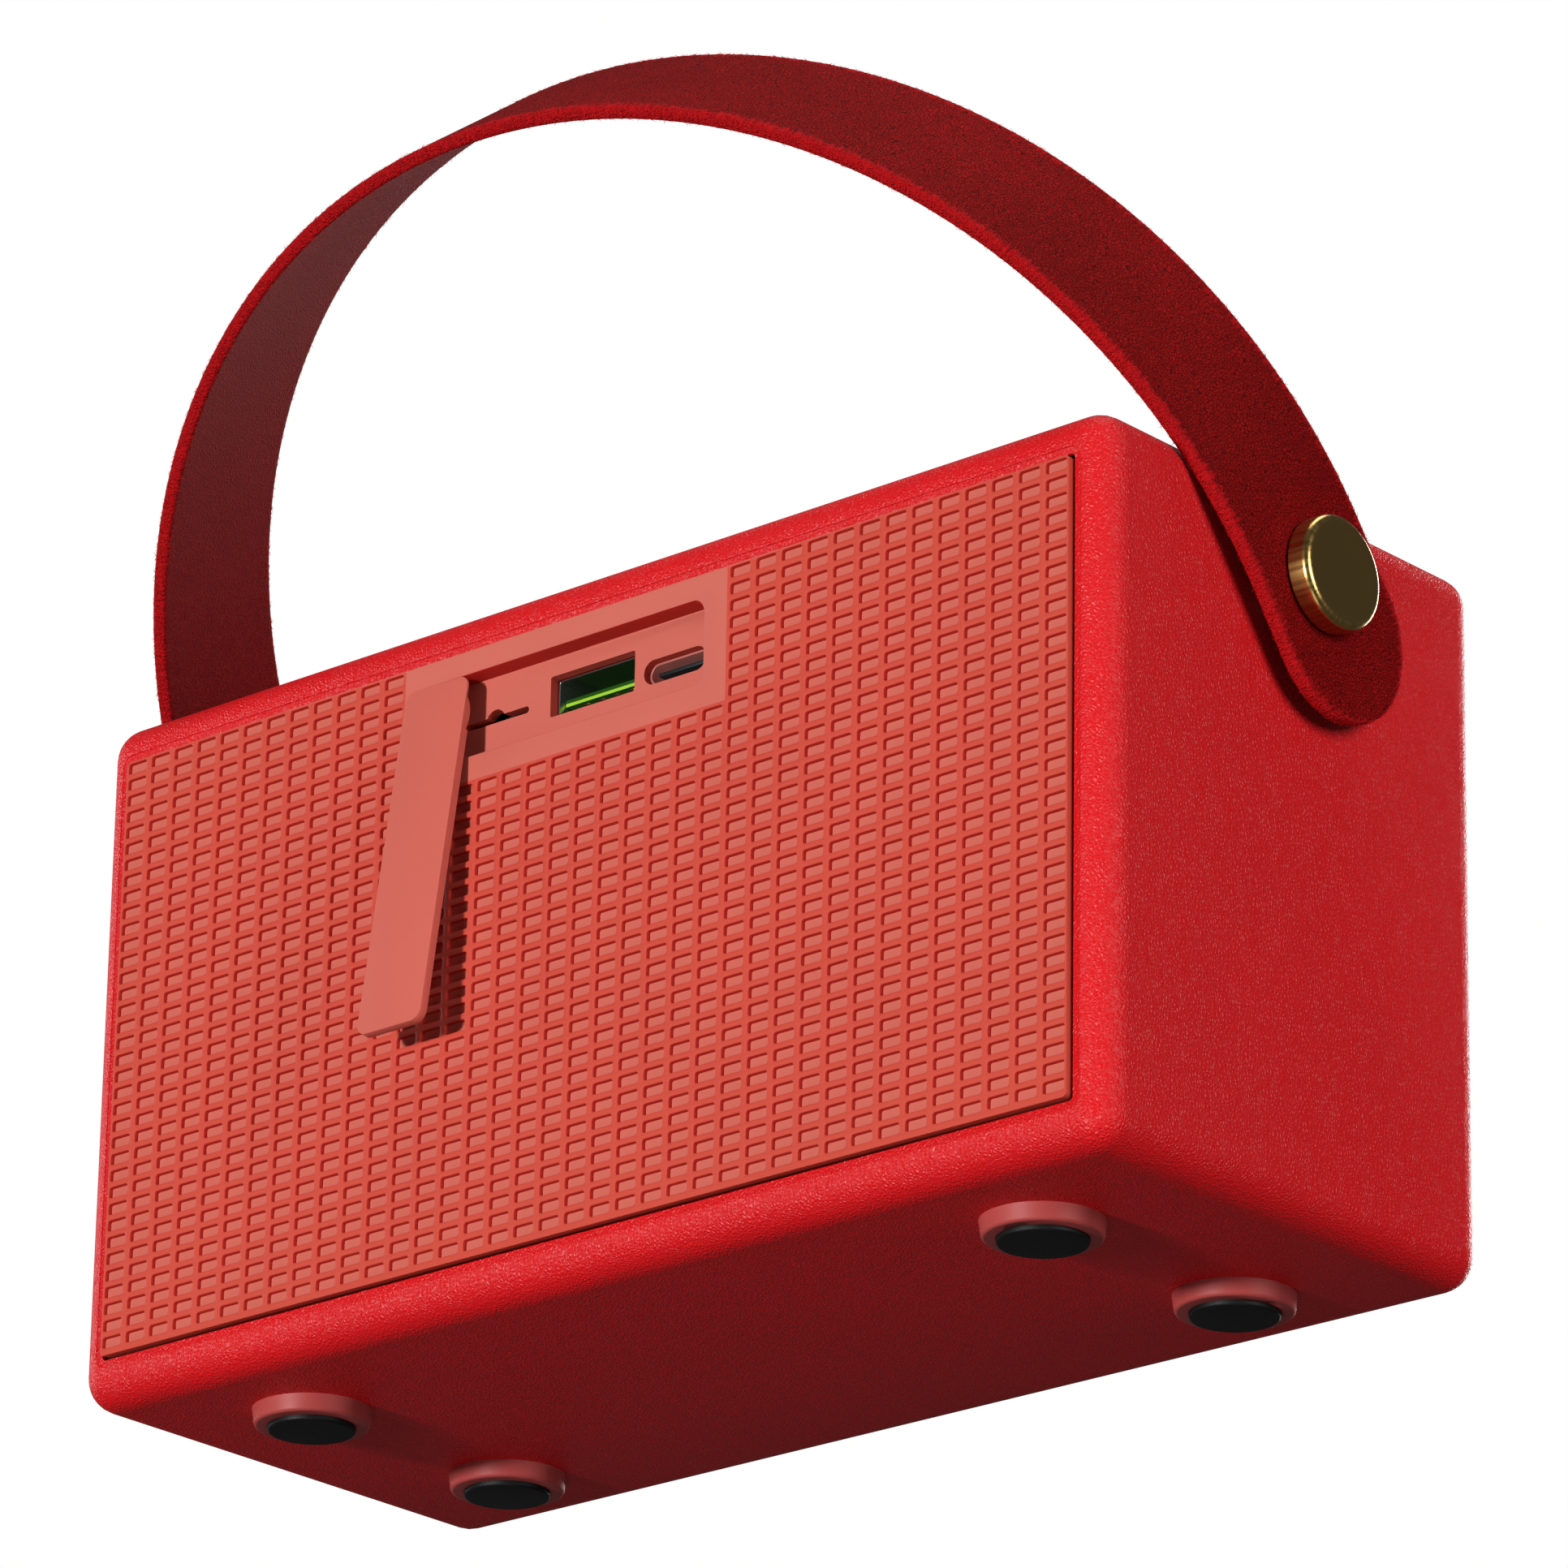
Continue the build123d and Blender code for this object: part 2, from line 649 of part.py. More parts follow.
def front_grille():
    """Slotted grille that covers the drivers."""
    grille = plate_y(panel_w, panel_h, panel_corner_r, 0, cab_z, grille_face, grille_back)
    slot_w = (panel_w - 2 * slot_margin - grille_mullion) / 2
    for row in range(slot_rows):
        z = cab_z + (row - (slot_rows - 1) / 2) * slot_pitch
        for side in (-1, 1):
            x = side * (grille_mullion + slot_w) / 2
            grille -= plate_y(slot_w, slot_h, slot_h / 2 - full_end, x, z, grille_face - over,
                              grille_back + over)
    for x, z in grille_pegs():
        boss = disc_y(x, z, peg_r + grille_boss_w, grille_face, grille_back)
        grille += boss + disc_y(x, z, peg_r, grille_back - lap, baffle_rear - over)
    return grille


def baffle():
    """Board that carries the drivers and the radiator."""
    width = cavity_w - 2 * baffle_gap
    height = cavity_h - 2 * baffle_gap
    board = plate_y(width, height, panel_corner_r, 0, cab_z, baffle_face, baffle_rear)
    cut = (baffle_face - over, baffle_rear + over)
    for side in (-1, 1):
        board -= disc_y(side * driver_x, cab_z, driver_hole_r, *cut)
    board -= disc_y(0, cab_z, radiator_hole_r, *cut)
    for x, z in grille_pegs():
        board -= disc_y(x, z, peg_r + peg_gap, *cut)
    for x, z in corners(block_x, block_z):
        board -= disc_y(x, z, screw_r + screw_hole_gap, *cut)
    return board


def baffle_gasket():
    """Foam strip between the baffle and its ledge."""
    return ring_y(cavity_w - 3 * baffle_gap, cavity_h - 3 * baffle_gap, gasket_w, baffle_rear, front_seat)


# ---------------------------------------------------------------- driver pieces
def driver_frame(x):
    """Pressed basket with a flat flange and four windows."""
    waist = driver_waist_r
    floor = driver_depth - driver_wall
    flange = driver_flange_t
    points = [(driver_flange_r, 0), (driver_flange_r, flange), (driver_mouth_r + driver_wall, flange),
              (waist, floor), (waist, driver_depth), (plate_bore_r + basket_lip, driver_depth),
              (plate_bore_r + basket_lip, floor), (waist - driver_wall, floor), (driver_mouth_r, flange),
              (driver_mouth_r, 0)]
    frame = turned_y(points, x, cab_z, flange_face)
    half = window_w / 2
    y0 = baffle_rear + window_front_gap
    y1 = flange_face + floor - window_rear_gap
    reach = driver_flange_r
    frame -= block(x - reach, x + reach, y0, y1, cab_z - half, cab_z + half)
    frame -= block(x - half, x + half, y0, y1, cab_z - reach, cab_z + reach)
    return frame


def ring_behind(x, outer_r, inner_r, depth0, depth1):
    """Ring on a driver's axis, between two depths behind the flange's face."""
    y0 = flange_face + depth0
    y1 = flange_face + depth1
    return disc_y(x, cab_z, outer_r, y0, y1) - disc_y(x, cab_z, inner_r, y0 - over, y1 + over)


def driver_top_plate(x):
    """Steel washer in front of the magnet."""
    return ring_behind(x, magnet_r - plate_inset, plate_bore_r, driver_depth, driver_depth + plate_t)


def driver_magnet(x):
    """Ring magnet."""
    front = driver_depth + plate_t
    return ring_behind(x, magnet_r, magnet_bore_r, front, front + magnet_t)


def driver_yoke(x):
    """Back plate with the centre pole."""
    back = driver_depth + plate_t + magnet_t
    pole = disc_y(x, cab_z, pole_r, flange_face + driver_depth + pole_front_gap,
                  flange_face + back + lap)
    return pole + disc_y(x, cab_z, magnet_r - plate_inset, flange_face + back, flange_face + back + yoke_t)


def roll(x, outer_r):
    """Half-round rubber roll whose outer foot has the radius outer_r."""
    middle = outer_r - roll_r
    section = Pos(middle, 0) * (Circle(roll_r) - Circle(roll_r - roll_t))
    section &= Pos(middle, -roll_r) * Rectangle(4 * roll_r, 2 * roll_r)
    return Pos(x, flange_face + roll_sink, cab_z) * revolve(section, Axis.Y, 360)


def driver_cone(x):
    """Paper cone with a flat rim under the roll."""
    rim_in = cone_rim_r - cone_rim_w
    neck = coil_r + coil_t
    deep = roll_sink + cone_sink
    points = [(cone_rim_r, roll_sink), (cone_rim_r, roll_sink + cone_t),
              (rim_in, roll_sink + cone_t), (neck + cone_foot_w, deep + cone_t), (neck, deep + cone_t),
              (neck, deep), (rim_in, roll_sink)]
    return turned_y(points, x, cab_z, flange_face)


def voice_coil(x):
    """Tube that carries the winding into the magnet's gap."""
    front = roll_sink + cone_sink
    return ring_behind(x, coil_r + coil_t, coil_r, front, front + coil_len)


def dust_cap(x):
    """Domed cap over the front of the coil."""
    foot = flange_face + roll_sink + cone_sink
    centre = foot + (dome_r ** 2 - (coil_r + coil_t) ** 2) ** 0.5
    ball = Pos(x, centre, cab_z) * (Sphere(dome_r) - Sphere(dome_r - cone_t))
    return ball & block(x - dome_r, x + dome_r, foot - dome_r, foot, cab_z - dome_r, cab_z + dome_r)


def spider(x):
    """Flat cloth disc that centres the coil."""
    return ring_behind(x, spider_r, coil_r + coil_t, spider_sink, spider_sink + spider_t)


def radiator_frame():
    """Flat ring that holds the passive radiator."""
    return ring_behind(0, radiator_flange_r, radiator_mouth_r, 0, driver_flange_t)


def radiator_plate():
    """Stiff centre disc of the radiator."""
    face = flange_face + roll_sink
    return disc_y(0, cab_z, radiator_plate_r, face, face + radiator_plate_t)


def radiator_mass():
    """Steel weight on the back of the disc."""
    face = flange_face + roll_sink + radiator_plate_t
    return disc_y(0, cab_z, radiator_mass_r, face, face + radiator_mass_t)


# ---------------------------------------------------------------- inner pieces
def standoff_places():
    """Places of the posts that hang the main board from the top."""
    half_x = board_w / 2 - screw_inset
    half_y = board_d / 2 - screw_inset
    return [(sx * half_x, board_y + sy * half_y) for sx in (-1, 1) for sy in (-1, 1)]


def main_board():
    """Circuit board under the sockets."""
    board = plate_z(board_w, board_d, board_corner_r, 0, board_y, board_top - board_t, board_top)
    for x, y in standoff_places():
        board -= disc_z(x, y, screw_r + screw_hole_gap, 0, cab_top)
    return board


def board_standoffs():
    """Four posts between the main board and the top of the cabinet."""
    posts = []
    for x, y in standoff_places():
        post = disc_z(x, y, standoff_r, board_top, cavity_top)
        posts.append(post - disc_z(x, y, screw_r + screw_hole_gap, 0, cab_top))
    return posts


def board_parts():
    """Amplifier, inductors and capacitors on the underside of the main board."""
    under = board_top - board_t
    chip = chip_w / 2
    choke = choke_w / 2
    parts = [block(-chip, chip, board_y - chip, board_y + chip, under - chip_t, under)]
    for x in (-choke_x, choke_x):
        parts.append(block(x - choke, x + choke, board_y - choke, board_y + choke, under - choke_t, under))
    for x in (-can_x, can_x):
        parts.append(disc_z(x, board_y + can_y, can_r, under - can_len, under))
    return parts


def tray_screw_places():
    """Places of the screws through the battery tray."""
    return [(side * (cell_len / 2 + tray_side + tray_lip / 2), 0) for side in (-1, 1)]


def battery_cells():
    """Two round cells, side by side."""
    cells = []
    offset = cell_r + cell_gap / 2
    for side in (-1, 1):
        z = cavity_floor + tray_t + cell_r
        cells.append(disc_x(side * offset, z, cell_r, -cell_len / 2, cell_len / 2))
    return cells


def battery_tray():
    """Open tray that holds the cells, with an ear at each end."""
    inner_x = cell_len / 2 + cell_end_gap
    inner_y = 2 * cell_r + cell_gap / 2 + cell_end_gap
    outer_x = inner_x + tray_side - cell_end_gap
    outer_y = inner_y + tray_side
    floor = cavity_floor
    tray = block(-outer_x, outer_x, -outer_y, outer_y, floor, floor + tray_t + cell_r)
    tray -= block(-inner_x, inner_x, -inner_y, inner_y, floor + tray_t, cab_top)
    for x, y in tray_screw_places():
        half = tray_lip / 2
        tray += block(x - half, x + half, y - half, y + half, floor, floor + tray_t)
        tray -= disc_z(x, y, screw_r + screw_hole_gap, 0, cab_top)
    return tray


def screw_z(x, y, head_z, length, up):
    """Pan-head screw along Z, whose head sits under head_z if up is 1."""
    head = disc_z(x, y, screw_head_r, head_z, head_z - up * screw_head_t)
    return head + disc_z(x, y, screw_r, head_z - up * lap, head_z + up * length)


def case_screws():
    """The screws of the baffle, the main board, the tray and the feet."""
    screws = []
    for x, z in corners(block_x, block_z):
        head = disc_y(x, z, screw_head_r, baffle_face - screw_head_t, baffle_face)
        screws.append(head + disc_y(x, z, screw_r, baffle_face - lap, front_seat + block_t - over))
    for x, y in standoff_places():
        length = cavity_top - board_top + board_t + board_screw_deep
        screws.append(screw_z(x, y, board_top - board_t, length, 1))
    for x, y in tray_screw_places():
        screws.append(screw_z(x, y, cavity_floor + tray_t, tray_t + tray_screw_deep, -1))
    for x, y in feet():
        head_z = foot_h - foot_web_t
        head = disc_z(x, y, screw_head_r, head_z - foot_head_t, head_z)
        screws.append(head + disc_z(x, y, screw_r, head_z - lap, cavity_floor - lap))
    return screws


# ---------------------------------------------------------------- controls
def button_x(index):
    """Place of a button along the control plate."""
    return (index - (len(button_names) - 1) / 2) * button_pitch


def control_plate():
    """Plate in the top of the cabinet with a hole for each button."""
    plate = plate_z(control_w, control_d, control_corner_r, 0, control_y,
                    button_flange_top, control_top)
    for index in range(len(button_names)):
        plate -= disc_z(button_x(index), control_y, button_r + button_gap, 0, cab_top + over)
    return plate


def switch_top():
    """Height of the switches' caps."""
    return key_board_top + switch_t + switch_cap_t


def button(index):
    """Push button with a flange under the plate and a stem over its switch."""
    x = button_x(index)
    top = cab_top + button_proud
    cap = disc_z(x, control_y, button_r, button_flange_top - button_flange_gap, top)
    cap = fillet(cap.edges().sort_by(Axis.Z)[-1], button_edge_r)
    flange_z = button_flange_top - button_flange_gap
    cap += disc_z(x, control_y, button_flange_r, flange_z - button_flange_t, flange_z)
    stem_low = switch_top() + button_travel + button_air
    return cap + disc_z(x, control_y, button_stem_r, stem_low, flange_z)


def key_board():
    """Small board under the buttons."""
    length = control_w - 2 * control_ledge - 2 * key_board_end_gap
    return plate_z(length, key_board_d, key_board_corner_r, 0, control_y,
                   key_board_top - key_board_t, key_board_top)


def key_switches():
    """One push switch for each button."""
    switches = []
    half = switch_w / 2
    for index in range(len(button_names)):
        x = button_x(index)
        body = block(x - half, x + half, control_y - half, control_y + half,
                     key_board_top, key_board_top + switch_t)
        switches.append(body + disc_z(x, control_y, switch_cap_r, key_board_top + lap, switch_top()))
    return switches


def save(name, shape):
    """Write one node; a list is a group of separate solids."""
    solids = shape if isinstance(shape, list) else [shape]
    found = [solid for item in solids for solid in item.solids()]
    piece = found[0] if len(found) == 1 else Compound(children=found)
    export_step(piece, f"parts/{name}.step")


def main():
    """Write every node of the speaker."""
    os.makedirs("parts", exist_ok=True)
    makers = [cabinet_shell, leather_wrap, foot_rings, foot_pads, back_panel, panel_gasket, port_flap,
              flap_tether, usb_a_shell, usb_a_tongue, usb_c_shell, usb_c_tongue, card_reader, strap,
              strap_washers, stud_nuts, front_grille, baffle, baffle_gasket, radiator_frame,
              radiator_plate, radiator_mass, main_board, board_standoffs, board_parts, battery_cells,
              battery_tray, case_screws, control_plate, key_board, key_switches]
    for maker in makers:
        save(maker.__name__, maker())
    save("radiator_surround", roll(0, radiator_mouth_r - surround_gap))
    save("strap_stud_left", strap_stud(-1))
    save("strap_stud_right", strap_stud(1))
    driver_makers = [driver_frame, driver_top_plate, driver_magnet, driver_yoke, driver_cone,
                     voice_coil, dust_cap, spider]
    for side, place in (("left", -driver_x), ("right", driver_x)):
        for maker in driver_makers:
            save(f"{maker.__name__}_{side}", maker(place))
        save(f"driver_surround_{side}", roll(place, driver_mouth_r - surround_gap))
    for index, name in enumerate(button_names):
        save(f"button_{name}", button(index))


main()
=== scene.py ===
"""Looks of a small party speaker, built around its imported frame.

Every length is in metres, in the frame's own axes: +Z up, +Y out of the port
panel and +X along the strap's studs.
"""

import json
import logging
import math
from dataclasses import dataclass, field
from enum import Enum

import bmesh
import bpy
from mathutils import Matrix, Vector


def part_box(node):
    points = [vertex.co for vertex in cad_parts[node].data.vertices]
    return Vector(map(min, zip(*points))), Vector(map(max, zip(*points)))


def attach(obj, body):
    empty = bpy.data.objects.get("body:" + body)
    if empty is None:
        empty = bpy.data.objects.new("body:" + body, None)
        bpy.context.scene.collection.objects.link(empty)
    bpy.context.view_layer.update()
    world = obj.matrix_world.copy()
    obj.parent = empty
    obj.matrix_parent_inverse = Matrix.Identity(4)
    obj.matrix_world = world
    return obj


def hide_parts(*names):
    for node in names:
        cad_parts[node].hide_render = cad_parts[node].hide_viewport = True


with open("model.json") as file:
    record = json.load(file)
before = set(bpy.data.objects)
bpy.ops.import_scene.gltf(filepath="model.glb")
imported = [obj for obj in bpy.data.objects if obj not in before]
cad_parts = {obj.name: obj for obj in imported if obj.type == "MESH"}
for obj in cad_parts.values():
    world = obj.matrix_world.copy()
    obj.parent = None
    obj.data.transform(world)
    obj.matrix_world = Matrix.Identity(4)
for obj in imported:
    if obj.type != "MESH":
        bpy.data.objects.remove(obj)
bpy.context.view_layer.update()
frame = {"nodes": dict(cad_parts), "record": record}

log = logging.getLogger("speaker")
MM = 0.001
NEAR = 1e-6          # points closer than this to a plane lie on it
Colour = tuple[float, float, float]
Value = float | bpy.types.NodeSocket
Shade = Colour | bpy.types.NodeSocket
Point = tuple[float, float]


class Side(Enum):
    """End of the cabinet, seen from the grille."""

    LEFT = -1
    RIGHT = 1


class Zone(Enum):
    """Part of a moulded panel that a face belongs to, stored with the face."""

    RIB = 0.0
    # wall faces get painted shade
    WALL = 0.5
    FLOOR = 1.0


# ------------------------------------------------------------------ node trees
class NodeTree:
    """Thin helper that adds and links nodes in one tree."""

    def __init__(self, tree: bpy.types.NodeTree) -> None:
        """Keeps the tree.

        Args:
            tree: the tree that nodes are added to.
        """
        self.tree = tree

    def add(self, kind: str, values: dict | None = None, **settings: object) -> bpy.types.Node:
        """Adds a node.

        Args:
            kind: the node's Blender type name.
            values: input socket name or number to its value, or to an output socket to link.
            settings: properties of the node itself.

        Returns:
            The new node.
        """
        node = self.tree.nodes.new(kind)
        for name, value in settings.items():
            setattr(node, name, value)
        for name, value in (values or {}).items():
            socket = node.inputs[name]
            if isinstance(value, bpy.types.NodeSocket):
                self.tree.links.new(value, socket)
            else:
                socket.default_value = value
        return node

    def maths(self, operation: str, *values: Value) -> bpy.types.NodeSocket:
        """Adds a Math node.

        Args:
            operation: the node's operation.
            values: numbers or output sockets, in order.

        Returns:
            The result socket.
        """
        node = self.add("ShaderNodeMath", dict(enumerate(values)), operation=operation)
        return node.outputs[0]

    def mix(self, factor: Value, one: Shade, two: Shade) -> bpy.types.NodeSocket:
        """Mixes two colours.

        Args:
            factor: number or socket, 0 for the first colour and 1 for the second.
            one: first colour or socket.
            two: second colour or socket.

        Returns:
            The mixed colour's socket.
        """
        node = self.add("ShaderNodeMix", data_type="RGBA")
        for index, value in ((0, factor), (6, one), (7, two)):
            if isinstance(value, bpy.types.NodeSocket):
                self.tree.links.new(value, node.inputs[index])
            elif index:
                node.inputs[index].default_value = (*value[:3], 1.0)
            else:
                node.inputs[index].default_value = value
        return node.outputs[2]

    def ramp(self, factor: Value, low: float, high: float) -> bpy.types.NodeSocket:
        """Spreads a value between two limits to 0 and 1.

        Args:
            factor: the value's socket.
            low: value that becomes 0.
            high: value that becomes 1.

        Returns:
            The spread value's socket.
        """
        node = self.add("ShaderNodeMapRange", {0: factor, 1: low, 2: high}, interpolation_type="SMOOTHSTEP")
        return node.outputs[0]


def shader_group(name: str, inputs: dict[str, float], outputs: list[str]) -> tuple[NodeTree, dict, dict]:
    """Starts a shader node group.

    Args:
        name: the group's name.
        inputs: names of number inputs and their defaults.
        outputs: names of number outputs.

    Returns:
        The tree helper, the input sockets by name and the output node's inputs by name.
    """
    tree = bpy.data.node_groups.new(name, "ShaderNodeTree")
    for label, value in inputs.items():
        socket = tree.interface.new_socket(name=label, in_out="INPUT", socket_type="NodeSocketFloat")
        socket.default_value = value
    for label in outputs:
        tree.interface.new_socket(name=label, in_out="OUTPUT", socket_type="NodeSocketFloat")
    kit = NodeTree(tree)
    source = kit.add("NodeGroupInput")
    sink = kit.add("NodeGroupOutput")
    return kit, source.outputs, sink.inputs


class Groups:
    """Shader groups that several finishes share, each built once."""

    warp_scale = 260.0
    warp_reach = 1.6 * MM
    pebble_top = 0.42
    crease_width = 0.16
    wrinkle_ratio = 2.6
    hide_patch_scale = 38.0
    hide_patch = (0.3, 0.7)
    mould_patch_scale = 55.0
    mould_patch = (0.32, 0.68)
    made: dict[str, bpy.types.NodeTree] = {}

    @classmethod
    def grain(cls) -> bpy.types.NodeTree:
        """Pebbled leather grain: a Height, a Crease mask that places painted shade in the creases, and a Patch mask
        over the surface.

        Returns:
            The group, made once.
        """
        if "grain" in cls.made:
            return cls.made["grain"]
        kit, given, out = shader_group("grain", {"Size": 0.8 * MM, "Stretch": 0.5}, ["Height", "Crease", "Patch"])
        place = kit.add("ShaderNodeTexCoord").outputs["Object"]
        scale = kit.maths("DIVIDE", 1.0, given["Size"])
        warp = kit.add("ShaderNodeTexNoise", {"Vector": place, "Scale": cls.warp_scale, "Detail": 2.0})
        bent = kit.add("ShaderNodeVectorMath", {0: warp.outputs["Color"], 1: (0.5, 0.5, 0.5)}, operation="SUBTRACT")
        moved = kit.add("ShaderNodeVectorMath", {0: bent.outputs[0], "Scale": cls.warp_reach}, operation="SCALE")
        spot = kit.add("ShaderNodeVectorMath", {0: place, 1: moved.outputs[0]}, operation="ADD").outputs[0]
        cells = kit.add("ShaderNodeTexVoronoi", {"Vector": spot, "Scale": scale}, feature="DISTANCE_TO_EDGE")
        dome = kit.ramp(cells.outputs["Distance"], 0.0, cls.pebble_top)
        finer = kit.maths("MULTIPLY", scale, cls.wrinkle_ratio)
        fine = kit.add("ShaderNodeTexNoise", {"Vector": place, "Scale": finer, "Detail": 3.0})
        rough = kit.maths("MULTIPLY", fine.outputs["Fac"], given["Stretch"])
        broad = kit.add("ShaderNodeTexNoise", {"Vector": place, "Scale": cls.hide_patch_scale, "Detail": 3.0})
        off_crease = kit.ramp(cells.outputs["Distance"], 0.0, cls.crease_width)
        link = kit.tree.links.new
        link(kit.maths("ADD", dome, rough), out["Height"])
        link(kit.maths("SUBTRACT", 1.0, off_crease), out["Crease"])
        link(kit.ramp(broad.outputs["Fac"], *cls.hide_patch), out["Patch"])
        cls.made["grain"] = kit.tree
        return kit.tree

    @classmethod
    def speckle(cls) -> bpy.types.NodeTree:
        """Fine moulding texture with broad unevenness: a Height and a Patch mask.

        Returns:
            The group, made once.
        """
        if "speckle" in cls.made:
            return cls.made["speckle"]
        kit, given, out = shader_group("speckle", {"Size": 0.25 * MM}, ["Height", "Patch"])
        place = kit.add("ShaderNodeTexCoord").outputs["Object"]
        scale = kit.maths("DIVIDE", 1.0, given["Size"])
        fine = kit.add("ShaderNodeTexNoise", {"Vector": place, "Scale": scale, "Detail": 2.0})
        broad = kit.add("ShaderNodeTexNoise", {"Vector": place, "Scale": cls.mould_patch_scale, "Detail": 4.0})
        kit.tree.links.new(fine.outputs["Fac"], out["Height"])
        kit.tree.links.new(kit.ramp(broad.outputs["Fac"], *cls.mould_patch), out["Patch"])
        cls.made["speckle"] = kit.tree
        return kit.tree


def bump(kit: NodeTree, height: bpy.types.NodeSocket, strength: float, distance: float) -> bpy.types.NodeSocket:
    """Adds a Bump node.

    Args:
        kit: the material's tree.
        height: the height's socket.
        strength: how much of the bump shows.
        distance: height in metres of a full step.

    Returns:
        The normal's socket.
    """
    node = kit.add("ShaderNodeBump", {"Strength": strength, "Distance": distance, "Height": height})
    return node.outputs["Normal"]


# ------------------------------------------------------------------ finishes
@dataclass(frozen=True)
class Finish:
    """A surface finish, and the base of the more particular ones."""

    name: str
    colour: Colour
    roughness: float = 0.5
    metallic: float = 0.0
    relief: float = 0.03 * MM
    grain_size: float = 0.25 * MM
    shade: float = 0.85
    coat: float = 0.0
    gloss: float = 0.28
    bump_strength: float = 0.5

    def start(self) -> tuple[bpy.types.Material, NodeTree, bpy.types.Node]:
        """Makes the material with its shader.

        Returns:
            The material, its tree helper and the Principled node.
        """
        material = bpy.data.materials.new(self.name)
        material.use_nodes = True
        kit = NodeTree(material.node_tree)
        shader = material.node_tree.nodes["Principled BSDF"]
        shader.inputs["Metallic"].default_value = self.metallic
        shader.inputs["Coat Weight"].default_value = self.coat
        shader.inputs["Specular IOR Level"].default_value = self.gloss
        return material, kit, shader

    def build(self) -> bpy.types.Material:
        """Builds the material: speckled, with slightly uneven colour and gloss.

        Returns:
            The material.
        """
        material, kit, shader = self.start()
        speckle = kit.add("ShaderNodeGroup", node_tree=Groups.speckle())
        speckle.inputs["Size"].default_value = self.grain_size
        darker = tuple(c * self.shade for c in self.colour)
        colour = kit.mix(speckle.outputs["Patch"], darker, self.colour)
        gloss = kit.add("ShaderNodeMapRange", {0: speckle.outputs["Patch"], 3: self.roughness * 0.88,
                                               4: min(1.0, self.roughness * 1.1)})
        link = kit.tree.links.new
        link(colour, shader.inputs["Base Color"])
        link(gloss.outputs[0], shader.inputs["Roughness"])
        link(bump(kit, speckle.outputs["Height"], self.bump_strength, self.relief), shader.inputs["Normal"])
        return material


@dataclass(frozen=True)
class Leatherette(Finish):
    """Embossed coated cloth with a pebbled grain, its creases darkened as painted shade."""

    # painted shade: colour put into the creases between the pebbles
    crease_shadow: Colour = (0.3, 0.004, 0.008)
    crease_share: float = 0.35
    bump_strength: float = 0.55

    def build(self) -> bpy.types.Material:
        """Builds the material.

        Returns:
            The material.
        """
        material, kit, shader = self.start()
        grain = kit.add("ShaderNodeGroup", node_tree=Groups.grain())
        grain.inputs["Size"].default_value = self.grain_size
        darker = tuple(c * self.shade for c in self.colour)
        face = kit.mix(grain.outputs["Patch"], darker, self.colour)
        # paints shade into the creases
        colour = kit.mix(kit.maths("MULTIPLY", grain.outputs["Crease"], self.crease_share), face, self.crease_shadow)
        gloss = kit.add("ShaderNodeMapRange", {0: grain.outputs["Height"], 3: self.roughness * 1.15,
                                               4: self.roughness * 0.8})
        link = kit.tree.links.new
        link(colour, shader.inputs["Base Color"])
        link(gloss.outputs[0], shader.inputs["Roughness"])
        link(bump(kit, grain.outputs["Height"], self.bump_strength, self.relief), shader.inputs["Normal"])
        return material


@dataclass(frozen=True)
class PittedPlastic(Finish):
    """Two-shot plastic: orange ribs over lighter pit floors, with pit and bay walls darkened as painted shade, told
    apart by the zone attribute.
    """

    floor: Colour = (0.56, 0.125, 0.092)
    # painted shade: darker colour put on every wall face
    wall_shadow: Colour = (0.44, 0.015, 0.0095)
    bump_strength: float = 0.4

    def build(self) -> bpy.types.Material:
        """Builds the material.

        Returns:
            The material.
        """
        material, kit, shader = self.start()
        speckle = kit.add("ShaderNodeGroup", node_tree=Groups.speckle())
        speckle.inputs["Size"].default_value = self.grain_size
        zone = kit.add("ShaderNodeAttribute", attribute_name="zone").outputs["Fac"]
        on_floor = kit.maths("GREATER_THAN", zone, (Zone.WALL.value + Zone.FLOOR.value) / 2)
        off_rib = kit.maths("GREATER_THAN", zone, (Zone.RIB.value + Zone.WALL.value) / 2)
        colour = kit.mix(on_floor, kit.mix(off_rib, self.colour, self.wall_shadow), self.floor)
        shaded = kit.mix(speckle.outputs["Patch"], (self.shade,) * 3, (1.0, 1.0, 1.0))
        final = kit.add("ShaderNodeMix", data_type="RGBA", blend_type="MULTIPLY")
        final.inputs[0].default_value = 1.0
        link = kit.tree.links.new
        link(colour, final.inputs[6])
        link(shaded, final.inputs[7])
        link(final.outputs[2], shader.inputs["Base Color"])
        gloss = kit.add("ShaderNodeMapRange", {0: speckle.outputs["Patch"], 3: self.roughness * 0.9,
                                               4: self.roughness * 1.1})
        link(gloss.outputs[0], shader.inputs["Roughness"])
        link(bump(kit, speckle.outputs["Height"], self.bump_strength, self.relief), shader.inputs["Normal"])
        return material


